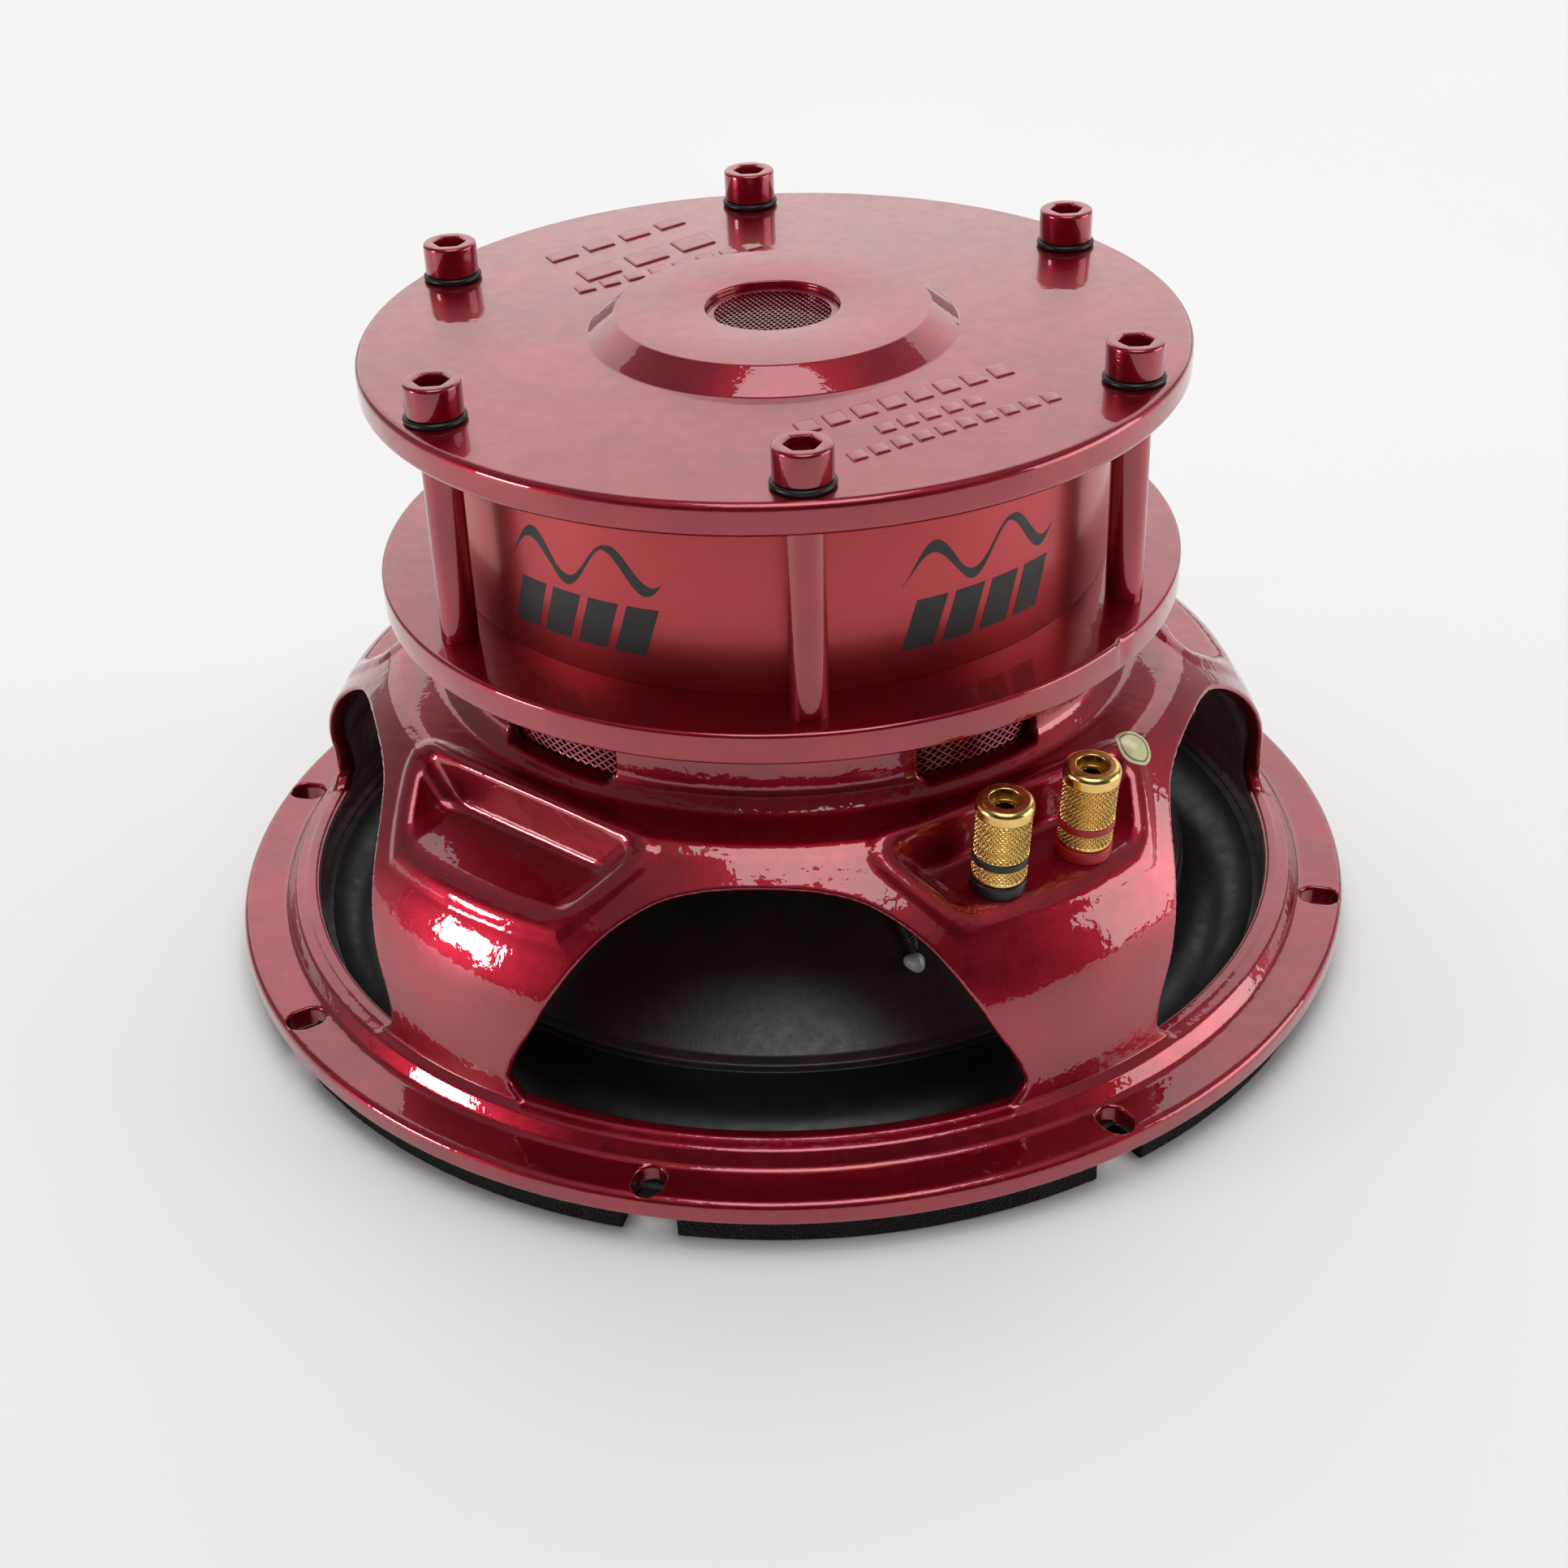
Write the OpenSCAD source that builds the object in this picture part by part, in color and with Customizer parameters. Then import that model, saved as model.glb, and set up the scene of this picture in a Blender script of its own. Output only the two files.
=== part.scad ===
// Car subwoofer driver, ten inch class, standing on its front gasket with the motor upward.
// Origin: middle of the gasket's front face. +Z runs along the axis towards the motor.
// Millimetres.

/* [Overall] */
// Part to show, "all" for the whole driver
// Outside diameter of the basket's mounting flange
flange_d = 264; // [200:1:330]
// Height of the cast basket, flange front face to motor face
basket_h = 81.7; // [68:0.1:110]
// Diameter of the two steel plates of the motor
plate_d = 179.4; // [150:0.2:230]

/* [Motor] */
// Thickness of the front steel plate
front_plate_t = 7; // [5:0.1:10]
// Thickness of the back steel plate
back_plate_t = 7.1; // [5:0.1:10]
// Thickness of each of the two ferrite rings
magnet_t = 21.15; // [15:0.05:30]
// Height of the raised middle of the back plate
bump_h = 4.7; // [2:0.1:8]
// Diameter of the vent hole through the pole
vent_d = 29; // [20:0.5:34]
// Inside diameter of the voice coil former
coil_d = 64; // [50:0.5:76]
// Diameter of the long cap screws that join the plates
screw_d = 8; // [6:0.5:10]
// Turn of the cap screw circle about the axis, degrees
screw_turn = 37.1; // [0:0.1:60]

/* [Flange and gasket] */
// Thickness of the foam gasket
gasket_t = 7.1; // [4:0.1:12]
// Thickness of the flange at the slots
flange_t = 5.2; // [4:0.1:8]
// Length of each mounting slot, along the radius
slot_l = 8.7; // [7:0.1:12]
// Width of each mounting slot
slot_w = 6.6; // [4.5:0.1:8]
// Turn of the slot circle about the axis, degrees
slot_turn = 304.7; // [270:0.1:360]
// Gap between two gasket arcs
gasket_gap = 12; // [9:0.5:20]

/* [Basket] */
// Wall thickness of the casting
wall_t = 4; // [3:0.1:6]
// Height of the lip at the foot of the windows
lip_h = 4.2; // [2:0.1:8]
// Height of the vented neck ring above the shoulder
neck_h = 19.3; // [14:0.1:26]
// Share of one fifth of the basket that a window takes
window_share = 0.785; // [0.6:0.005:0.85]
// Radius of the basket's rounded shoulder
shoulder_r = 40; // [20:1:60]

/* [Cone] */
// Outside diameter of the cone's rim
cone_d = 187; // [160:1:220]
// Thickness of the cone
cone_t = 1.4; // [0.9:0.1:2.5]
// Diameter of the dust cap
cap_d = 100; // [80:1:130]
// Length of wound wire on the voice coil
winding_l = 28; // [16:0.5:36]

/* [Binding posts] */
// Distance between the two posts
post_gap = 22.2; // [19:0.1:30]
// Diameter of a knob
knob_d = 12; // [10:0.1:14]
// Height of a knob
knob_h = 18.6; // [15:0.1:22]
// Height of the coloured base under a knob
base_h = 2.9; // [2:0.1:5]
// Lean of the posts away from the axis, degrees
post_lean = 5.5; // [0:0.5:12]

/* [Clearances] */
// Gap around the coil on each side
coil_gap = 0.6; // [0.4:0.05:1.2]
// Gap between a screw and its clearance hole, on the radius
hole_gap = 0.3; // [0.1:0.05:0.6]
// Gap between a knob's bore and its stud, on the radius
stud_gap = 0.06; // [0.03:0.01:0.1]
// Gap between a closed knob and its base
seat_gap = 0.15; // [0.1:0.05:0.5]

/* [Hidden] */
$fn = 96;
arms = 5;
screws = 6;
slots = 8;
e = 0.01;
black = [0.05, 0.05, 0.055];
red = [0.72, 0.05, 0.07];

// heights
z_face = gasket_t;
z_flange = z_face + flange_t;
z_lip = z_flange + lip_h;
z_neck = z_face + basket_h;
z_shelf = z_neck - neck_h;
z_front = z_neck + front_plate_t;
z_mag = z_front + magnet_t;
z_back = z_front + 2 * magnet_t;
z_top = z_back + back_plate_t;
z_bump = z_top + bump_h;
shelf_t = wall_t + 0.2;
deck_t = wall_t - 0.5;

// radii
flange_r = flange_d / 2;
plate_r = plate_d / 2;
base_r = flange_r - 14.6;
shelf_r = plate_r + 0.3;
neck_r = plate_r - 13.7;
neck_in_r = neck_r - 0.6 * wall_t;
gasket_r = flange_r - 3.1;
bore_r = base_r - wall_t;
seat_r = bore_r + 10;
slot_r = flange_r - 1 - slot_l / 2;
screw_r = plate_r - 8.3;
cover_r = plate_r - 16.35;
cover_t = 1;
magnet_r = cover_r - cover_t - 2.4;
former_r = coil_d / 2;
former_t = 0.5;
wind_t = 1.5;
pole_r = former_r - coil_gap;
gap_r = former_r + former_t + wind_t + coil_gap;
magnet_in_r = gap_r + 5;
bump_top_r = gap_r - 0.5;
bump_base_r = bump_top_r + 6.1;
vent_r = vent_d / 2;
vent_turn = 11.7;
plate_screw_r = (gap_r + 8 + neck_in_r) / 2;
head_r = 1.5 * screw_d / 2;
head_h = 0.89 * screw_d;
ring_t = 1.4;

// the basket's outside line: foot, corner, shelf edge
foot = [base_r, z_lip];
bend = [shelf_r + 0.858 * (base_r - shelf_r), z_lip + 0.574 * (z_shelf - z_lip)];
brow = [shelf_r, z_shelf];

// windows
window_w = 2 * window_share * base_r * sin(180 / arms);
sill = 0.3;
arch = [[0.93, 0], [0.98, 0.06], [0.97, 0.16], [0.9, 0.32], [0.81, 0.52], [0.72, 0.66],
    [0.61, 0.79], [0.45, 0.91], [0.23, 0.98], [0, 1]];
window_top = z_shelf - 6.5;

// pocket in each arm, from the line of the posts: to its inner wall, to its side corners
pocket_in = 10.3;
pocket_side = [3, 30.2];
pocket_corner = [3, 3.2];
pocket_mouth = [22, 12];

// binding posts, on the arm at post_turn
post_turn = 306;
post_in = 6.3;
post_r = shelf_r + post_in;
z_post = z_shelf - 0.527 * (z_shelf - bend[1]);
stud_r = 2.8;
stem_r = 2.5;
jack_r = 2.05;
spigot_r = 3.2;
knob_r = knob_d / 2;
knob_z = base_h + seat_gap;
knob_top_r = 2.2;
band_z = knob_z + 4;
band_h = 1.8;
band_in = 0.7;
floor_t = wall_t;
washer_t = 1.5;
lug_t = 0.75;
lug_l = 9.5;
nut_t = 3.2;
z_washer = -floor_t - 0.7 - washer_t;
z_lug = z_washer - 0.05 - lug_t;
z_nut = z_lug - nut_t;

// cone and suspension
cone_r = cone_d / 2;
z_rim = z_lip + 0.5;
neck_out_r = former_r + former_t + 1.4;
spider_out_r = post_r - pocket_in - wall_t - 0.4;
z_spider = z_shelf - shelf_t;
spider_t = 0.8;
spider_collar = 3;
cone_collar = 3.2;
collar_gap = 0.72;
z_collar = z_spider - spider_t - spider_collar - collar_gap - cone_collar;
cap_r = cap_d / 2;
roll_in = cone_r + 0.4;
roll_out = bore_r - 1;
roll_mid = (roll_in + roll_out) / 2;
roll_r = (roll_out - roll_in) / 2;
z_roll = gasket_t + 3.9;
surround_t = 1.2;
z_coil = (z_neck + z_front) / 2;

// leads
lead_r = 0.9;
lead_gap = 0.1;
pad_turn = 12.4;
pad_h = 2.2;
cone_slope = (z_collar - z_rim) / (cone_r - 3 - neck_out_r);
pad_r = cone_r - 17;

// ---- helpers ----

function unit(v) = v / norm(v);
function left(v) = [-v[1], v[0]];
// point where the line through a and b crosses the height z
function at_z(a, b, z) = a + (b - a) * (z - a[1]) / (b[1] - a[1]);
// outward normal of an edge that runs up the outside of the basket
function out_of(a, b) = -left(unit(b - a));
// corner between two edges, moved inward by t
function inset(a, c, b, t) =
    let (n1 = out_of(a, c), n2 = out_of(c, b))
    c - t * (n1 + n2) / (1 + n1 * n2);

// the sliver outside a radius r at corner c between a and b
module corner_sliver(a, c, b, r) {
    u = unit(a - c);
    v = unit(b - c);
    h = acos(u * v) / 2;
    o = c + unit(u + v) * r / sin(h);
    t1 = c + u * r / tan(h);
    t2 = c + v * r / tan(h);
    difference() {
        polygon([o, t1 + (t1 - o) * 0.02, c + (c - o) * 0.05, t2 + (t2 - o) * 0.02]);
        translate(o) circle(r);
    }
}

module ring(r_out, r_in, z0, z1) {
    translate([0, 0, z0]) difference() {
        cylinder(r = r_out, h = z1 - z0);
        translate([0, 0, -1]) cylinder(r = r_in, h = z1 - z0 + 2);
    }
}

// a disc or ring with rounded outer edges
module soft_ring(r_out, r_in, z0, z1, r) {
    rotate_extrude() union() {
        translate([r_in, z0]) square([r_out - r - r_in, z1 - z0]);
        translate([r_in, z0 + r]) square([r_out - r_in, z1 - z0 - 2 * r]);
        translate([r_out - r, z0 + r]) circle(r);
        translate([r_out - r, z1 - r]) circle(r);
    }
}

module at_screws(r, turn) {
    for (i = [0:screws - 1]) {
        rotate([0, 0, turn + i * 360 / screws]) translate([r, 0, 0]) children();
    }
}

module at_slots() {
    for (i = [0:slots - 1]) {
        rotate([0, 0, slot_turn + i * 360 / slots]) translate([slot_r, 0, 0]) children();
    }
}

// moves a child to one of the binding posts; side is -1 or 1
module at_post(side) {
    rotate([0, 0, post_turn]) translate([post_r, side * post_gap / 2, z_post])
        rotate([0, post_lean, 0]) children();
}

// ---- basket ----

module basket_outside() {
    difference() {
        polygon([
            [0, z_face], [flange_r - 0.8, z_face], [flange_r, z_face + 0.8],
            [flange_r, z_flange - 1.6], [flange_r - 0.6, z_flange - 0.6],
            [flange_r - 2, z_flange], [base_r + 4.8, z_flange], [base_r + 3.4, z_flange + 0.6],
            [base_r + 2.2, z_lip - 1.6], [base_r + 1.2, z_lip - 0.5], foot, bend, brow,
            [neck_r + 5, z_shelf + 0.4], [neck_r + 1.2, z_shelf + 1.6], [neck_r, z_shelf + 4],
            [neck_r, z_neck], [0, z_neck]]);
        corner_sliver(foot, bend, brow, shoulder_r);
        corner_sliver(bend, brow, [neck_r + 5, z_shelf + 0.4], 5);
    }
}

module basket_inside() {
    c = inset(foot, bend, brow, wall_t);
    lo = [bore_r, z_lip];
    hi = at_z(c, c + (brow - bend), z_shelf - shelf_t);
    difference() {
        polygon([
            [0, z_face - 1], [bore_r, z_face - 1], lo, c, hi,
            [neck_in_r + 2, z_shelf - shelf_t], [neck_in_r, z_shelf - shelf_t + 2],
            [neck_in_r, z_neck - deck_t], [0, z_neck - deck_t]]);
        corner_sliver(lo, c, hi, shoulder_r - wall_t);
    }
}

// point at t, 0 to 1, on a smooth curve from b to c; a and d are the points before and after
function smooth(a, b, c, d, t) =
    0.5 * (2 * b + (c - a) * t + (2 * a - 5 * b + 4 * c - d) * t * t
        + (3 * b - a - 3 * c + d) * t * t * t);

function curve(p, n) = [for (i = [1:len(p) - 3])
    for (j = [0:n - 1])
        smooth(p[i - 1], p[i], p[i + 1], p[i + 2], j / n)];

// arch, half of it given by shares of its half width and of its rise
module window_shape() {
    w = window_w / 2;
    h = window_top - z_lip - sill;
    half = [for (p = arch) [w * p[0], z_lip + sill + h * p[1]]];
    ends = concat([half[0] - [0, 1]], half, [[-half[len(half) - 2][0], half[len(half) - 2][1]]]);
    right = curve(ends, 3);
    polygon(concat(
        right, [half[len(half) - 1]], [for (i = [len(right) - 1:-1:0]) [-right[i][0], right[i][1]]]));
}

module windows() {
    for (i = [0:arms - 1]) {
        rotate([0, 0, i * 360 / arms]) translate([0, -bore_r * 0.55, 0])
            rotate([90, 0, 0]) linear_extrude(bore_r) window_shape();
    }
}

module neck_vents() {
    for (i = [0:arms - 1]) {
        rotate([0, 0, (i + 0.5) * 360 / arms - 90 - vent_turn])
            rotate_extrude(angle = 2 * vent_turn) translate([neck_in_r - 6, z_shelf + 3])
                square([20, neck_h - deck_t - 5]);
    }
}

// plan view of the pocket in each arm, grown by g
module pocket_plan(g) {
    x = post_r - pocket_in - g;
    y = pocket_side[1] + g;
    polygon([
        [x, -y + pocket_corner[1]], [x + pocket_corner[0], -y + 0.2],
        [post_r - pocket_side[0] - g, -y], [post_r + pocket_mouth[0], -pocket_mouth[1] - g],
        [post_r + pocket_mouth[0], pocket_mouth[1] + g], [post_r - pocket_side[0] - g, y],
        [x + pocket_corner[0], y - 0.2], [x, y - pocket_corner[1]]]);
}

// half space above the pocket floor, lowered by g
module pocket_space(g) {
    translate([post_r, 0, z_post - g]) rotate([0, post_lean, 0])
        translate([-30, -50, 0]) cube([70, 100, 60]);
}

module pockets(g) {
    for (i = [0:arms - 1]) {
        rotate([0, 0, post_turn + i * 360 / arms]) intersection() {
            translate([0, 0, z_post - 20]) linear_extrude(60) pocket_plan(g);
            pocket_space(g);
        }
    }
}

module basket() {
    color([0.48, 0.02, 0.07]) difference() {
        union() {
            difference() {
                rotate_extrude() basket_outside();
                rotate_extrude() basket_inside();
            }
            intersection() {
                rotate_extrude() basket_outside();
                pockets(wall_t);
            }
        }
        pockets(0);
        windows();
        neck_vents();
        // bore of the deck the motor stands on
        translate([0, 0, z_neck - deck_t - 1]) cylinder(r = gap_r + 8, h = deck_t + 2);
        // seat for the surround's outer edge
        translate([0, 0, z_face - 1]) cylinder(r = seat_r, h = 1 + surround_t);
        at_slots() translate([0, 0, z_face - 1]) linear_extrude(flange_t + 2) union() {
            square([slot_l - slot_w, slot_w], center = true);
            translate([(slot_l - slot_w) / 2, 0]) circle(slot_w / 2, $fn = 48);
            translate([-(slot_l - slot_w) / 2, 0]) circle(slot_w / 2, $fn = 48);
        }
        at_screws(plate_screw_r, screw_turn + 30)
            translate([0, 0, z_neck - deck_t - 1]) cylinder(r = 2.5 + hole_gap, h = deck_t + 2);
        for (s = [-1, 1]) {
            at_post(s) translate([0, 0, -12]) cylinder(r = spigot_r + 0.1, h = 14);
        }
    }
}

// ---- motor ----

module front_plate() {
    color([0.48, 0.02, 0.07]) difference() {
        soft_ring(plate_r, gap_r, z_neck, z_front, 0.8);
        at_screws(screw_r, screw_turn) translate([0, 0, z_neck + 1])
            cylinder(r = screw_d / 2 + 0.05, h = front_plate_t);
        at_screws(plate_screw_r, screw_turn + 30) translate([0, 0, z_neck - 1])
            cylinder(r = 2.5 + 0.05, h = front_plate_t - 1);
    }
}

module magnet_front() {
    color([0.16, 0.16, 0.17]) ring(magnet_r, magnet_in_r, z_front, z_mag);
}

module magnet_rear() {
    color([0.16, 0.16, 0.17]) ring(magnet_r, magnet_in_r, z_mag, z_back);
}

module magnet_cover() {
    color([0.62, 0.16, 0.18]) ring(cover_r, cover_r - cover_t, z_front, z_back);
}

module back_plate() {
    color([0.48, 0.02, 0.07]) difference() {
        union() {
            soft_ring(plate_r, 0, z_back, z_top, 1.6);
            translate([0, 0, z_top - e])
                cylinder(r1 = bump_base_r, r2 = bump_top_r, h = bump_h + e);
            translate([0, 0, z_neck]) cylinder(r = pole_r, h = z_back - z_neck + 1);
        }
        // pocket behind the coil
        translate([0, 0, z_back - 1]) difference() {
            cylinder(r = gap_r, h = back_plate_t + 1);
            translate([0, 0, -1]) cylinder(r = pole_r, h = back_plate_t + 4);
        }
        translate([0, 0, z_neck - 1]) cylinder(r = vent_r - 1.5, h = z_bump - z_neck + 2);
        translate([0, 0, z_bump - 2.4]) cylinder(r = vent_r, h = 3);
        translate([0, 0, z_neck - e])
            cylinder(r1 = vent_r + 4.5, r2 = vent_r - 1.5, h = 12);
        at_screws(screw_r, screw_turn) translate([0, 0, z_back - 1])
            cylinder(r = screw_d / 2 + hole_gap, h = back_plate_t + 2);
    }
}

module vent_screen() {
    n = 4;
    p = 2 * vent_r / 9;
    color([0.5, 0.05, 0.1]) translate([0, 0, z_bump - 2.4]) difference() {
        cylinder(r = vent_r - 0.1, h = 0.8);
        for (i = [-n:n]) {
            for (j = [-n:n]) {
                if (norm([i * p + (j % 2 == 0 ? 0 : p / 2), j * p * 0.866]) < vent_r - 1.9) {
                    translate([i * p + (j % 2 == 0 ? 0 : p / 2), j * p * 0.866, -1])
                        cylinder(r = p * 0.36, h = 3, $fn = 4);
                }
            }
        }
    }
}

module cap_screws() {
    z_head = z_top + ring_t;
    z_end = z_neck + 1.5;
    color([0.48, 0.02, 0.07]) at_screws(screw_r, screw_turn) difference() {
        union() {
            translate([0, 0, z_end]) cylinder(r = screw_d / 2, h = z_head - z_end + 1);
            translate([0, 0, z_head]) rotate_extrude($fn = 64) union() {
                square([head_r - 1.6, head_h]);
                square([head_r, head_h - 1.6]);
                translate([head_r - 1.6, head_h - 1.6]) circle(1.6);
            }
        }
        translate([0, 0, z_head + head_h - 4])
            cylinder(r = 0.79 * screw_d / 2 / cos(30), h = 5, $fn = 6);
    }
}

module o_rings() {
    color([0.03, 0.03, 0.03]) at_screws(screw_r, screw_turn)
        translate([0, 0, z_top + ring_t / 2]) rotate_extrude($fn = 64)
            translate([head_r - 0.15, 0]) circle(ring_t / 2, $fn = 24);
}

module neck_screen() {
    color([0.35, 0.04, 0.08])
        ring(neck_in_r - 0.1, neck_in_r - 0.9, z_shelf + 0.5, z_neck - deck_t - 0.1);
}

module plate_screws() {
    z_head = z_neck - deck_t;
    color([0.1, 0.1, 0.1]) at_screws(plate_screw_r, screw_turn + 30) difference() {
        union() {
            translate([0, 0, z_head - 3]) cylinder(r = 4.6, h = 3, $fn = 48);
            translate([0, 0, z_head - 1])
                cylinder(r = 2.5, h = deck_t + front_plate_t - 1.5, $fn = 48);
        }
        translate([0, 0, z_head - 4]) cylinder(r = 2.3, h = 3, $fn = 6);
    }
}

// ---- suspension ----

module spider() {
    r0 = former_r + former_t + 0.05;
    r1 = spider_out_r;
    z0 = z_spider - spider_t;
    n = 72;
    waves = 6;
    amp = 1.7;
    ri = r0 + 3;
    ro = r1 - 8;
    wave = [for (i = [0:n])
        [ri + (ro - ri) * i / n, z0 - amp + amp * cos(waves * 360 * i / n)]];
    top = [for (p = wave) [p[0], p[1] + spider_t]];
    color([0.05, 0.05, 0.05]) rotate_extrude() polygon(concat(
        [[r0, z0 - spider_collar], [r0 + 1, z0 - spider_collar], [r0 + 1.2, z0]],
        wave, [[r1, z0], [r1, z0 + spider_t]],
        [for (i = [n:-1:0]) top[i]], [[r0, z0 + spider_t]]));
}

// the roll's section at radius r, from its inner side down and up to the height z_end
function roll(r, z_end) =
    let (n = 26, last = 180 - asin((z_roll - z_end) / r))
    [for (i = [0:n])
        let (w = last * i / n)
        [roll_mid - r * cos(w), z_roll - r * sin(w)]];

function reversed(list) = [for (i = [len(list) - 1:-1:0]) list[i]];

// half roll hanging towards the front, glued under the cone's rim and into the flange's seat
module surround() {
    t = surround_t / 2;
    z_glue = z_rim - cone_t;
    color([0.04, 0.04, 0.045]) rotate_extrude() polygon(concat(
        [
            [cone_r - 6, z_glue], [cone_r - 6, z_glue - 2 * t],
            [roll_mid - roll_r - t, z_glue - 2 * t]],
        roll(roll_r + t, z_face),
        [[seat_r - 0.2, z_face], [seat_r - 0.2, z_face + 2 * t]],
        reversed(roll(roll_r - t, z_face + 2 * t)),
        [[roll_mid - roll_r + t, z_glue]]));
}

// ---- gasket ----

module gasket_arc(i) {
    a = asin(gasket_gap / 2 / gasket_r);
    color([0.05, 0.05, 0.055]) rotate([0, 0, slot_turn + (i - 1) * 360 / slots + a])
        rotate_extrude(angle = 360 / slots - 2 * a)
            polygon([
                [bore_r + 0.6, 0], [gasket_r - 0.8, 0], [gasket_r, 0.8], [gasket_r, gasket_t],
                [bore_r + 0.6, gasket_t]]);
}

module gasket_1() { gasket_arc(1); }
module gasket_2() { gasket_arc(2); }
module gasket_3() { gasket_arc(3); }
module gasket_4() { gasket_arc(4); }
module gasket_5() { gasket_arc(5); }
module gasket_6() { gasket_arc(6); }
module gasket_7() { gasket_arc(7); }
module gasket_8() { gasket_arc(8); }

// ---- moving cone ----

module cone() {
    drop = cone_t * sqrt(1 + cone_slope * cone_slope);
    color([0.09, 0.085, 0.08]) rotate_extrude() polygon([
        [neck_out_r - 1.3, z_collar + cone_collar], [neck_out_r, z_collar + cone_collar],
        [neck_out_r, z_collar],
        [cone_r - 3, z_rim], [cone_r, z_rim], [cone_r, z_rim - cone_t],
        [cone_r - 3 - (drop - cone_t) / cone_slope, z_rim - cone_t],
        [neck_out_r - 1.3, z_collar + 1.3 * cone_slope - drop]]);
}

module dust_cap() {
    slope = cone_slope;
    drop = cone_t * sqrt(1 + slope * slope);
    rise = cap_r * 0.28;
    z_edge = z_rim + (cone_r - 3 - cap_r) * slope - drop;
    ball = (cap_r * cap_r + rise * rise) / (2 * rise);
    color([0.07, 0.07, 0.075]) rotate_extrude() intersection() {
        difference() {
            translate([0, z_edge - rise + ball]) circle(ball, $fn = 180);
            translate([0, z_edge - rise + ball]) circle(ball - 1.2, $fn = 180);
        }
        polygon([
            [0, z_edge - rise - 5], [cap_r, z_edge - rise - 5], [cap_r, z_edge - 0.1],
            [cap_r - 3, z_edge - 0.1 + 3 * slope], [0, z_edge - 0.1 + 3 * slope]]);
    }
}

module coil_former() {
    color([0.75, 0.72, 0.62])
        ring(former_r + former_t, former_r, z_collar - 3, z_coil + winding_l / 2 + 1.5);
}

module voice_coil() {
    color([0.72, 0.38, 0.16])
        ring(former_r + former_t + wind_t, former_r + former_t + 0.02,
            z_coil - winding_l / 2, z_coil + winding_l / 2);
}

// ---- leads, from the lugs to the cone ----

// height of the cone's back at radius r
function cone_z(r) = z_rim + (cone_r - 3 - r) * cone_slope;
function polar(r, a, z) = [r * cos(a), r * sin(a), z];

// route of a lead: from the lug, in a loop towards the neck, down to the cone; side is the post's
function lead_route(side) =
    let (
        p = lug_end(side), q = pad_top(side),
        x = (p - q) / 2, m = (p + q) / 2, a = post_turn + side * (pad_turn + 6),
        y = norm(x) * 0.8 * [-cos(a), -sin(a), 0.9], n = 16)
    [for (i = [0:n])
        let (w = 180 * i / n)
        m + x * cos(w) + y * sin(w)];

// where the lead leaves its lug
function lug_end(side) =
    let (
        a = post_turn, x = post_r - lug_l * cos(post_lean), y = side * post_gap / 2,
        z = z_post + z_lug - lead_r - 0.6 + lug_l * sin(post_lean))
    [x * cos(a) - y * sin(a), x * sin(a) + y * cos(a), z];

// top of the cement on the cone
function pad_top(side) =
    polar(pad_r, post_turn + side * pad_turn, cone_z(pad_r) + pad_h + lead_gap + 1.3 * lead_r);

// a tube of radius r along a list of points, with flat ends
module tube(route, r, sides) {
    n = len(route);
    up = unit(cross(route[1] - route[0], route[2] - route[1]));
    rings = [for (i = [0:n - 1])
        let (
            d = unit(route[min(i + 1, n - 1)] - route[max(i - 1, 0)]),
            u = unit(cross(d, up)), v = cross(u, d))
        for (j = [0:sides - 1])
            route[i] + r * (cos(360 * j / sides) * u + sin(360 * j / sides) * v)];
    walls = [for (i = [0:n - 2])
        for (j = [0:sides - 1])
            let (k = (j + 1) % sides, a = i * sides)
            [a + j, a + k, a + sides + k, a + sides + j]];
    polyhedron(rings, concat(
        walls, [[for (j = [sides - 1:-1:0]) j]], [[for (j = [0:sides - 1]) (n - 1) * sides + j]]));
}

module lead(side) {
    color([0.12, 0.1, 0.09]) tube(lead_route(side), lead_r, 8);
}

// drop of cement that holds a lead to the cone
module lead_pad(side) {
    color([0.85, 0.85, 0.8])
        translate(polar(pad_r, post_turn + side * pad_turn, cone_z(pad_r) + 0.1))
            rotate([0, 0, post_turn + side * pad_turn]) difference() {
                translate([0, 0, pad_h - 2.6]) sphere(2.6, $fn = 32);
                rotate([0, atan(cone_slope), 0]) translate([-5, -5, -8]) cube([10, 10, 8]);
                translate([-5, -5, pad_h - 0.15]) cube([10, 10, 8]);
            }
}

module lead_black() { lead(-1); }
module lead_red() { lead(1); }
module lead_pad_black() { lead_pad(-1); }
module lead_pad_red() { lead_pad(1); }

// ---- binding posts ----

module post_base(side, tint) {
    color(tint) at_post(side) difference() {
        union() {
            cylinder(r = knob_r - 0.05, h = base_h, $fn = 64);
            translate([0, 0, -floor_t + 0.5]) cylinder(r = spigot_r, h = floor_t, $fn = 48);
        }
        translate([0, 0, -floor_t - 1]) cylinder(r = stem_r + 0.02, h = floor_t + base_h + 3, $fn = 48);
    }
}

module post_stud(side) {
    color([0.83, 0.62, 0.2]) at_post(side) difference() {
        union() {
            translate([0, 0, z_nut - 2.8]) cylinder(r = stem_r, h = base_h - z_nut + 2.8, $fn = 48);
            translate([0, 0, base_h]) cylinder(r = stud_r, h = knob_h - knob_top_r, $fn = 48);
        }
        translate([0, 0, base_h + 3.6]) cylinder(r = jack_r, h = knob_h, $fn = 48);
        translate([-5, 0, base_h + 2]) rotate([0, 90, 0]) cylinder(r = 1, h = 10, $fn = 24);
    }
}

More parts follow.
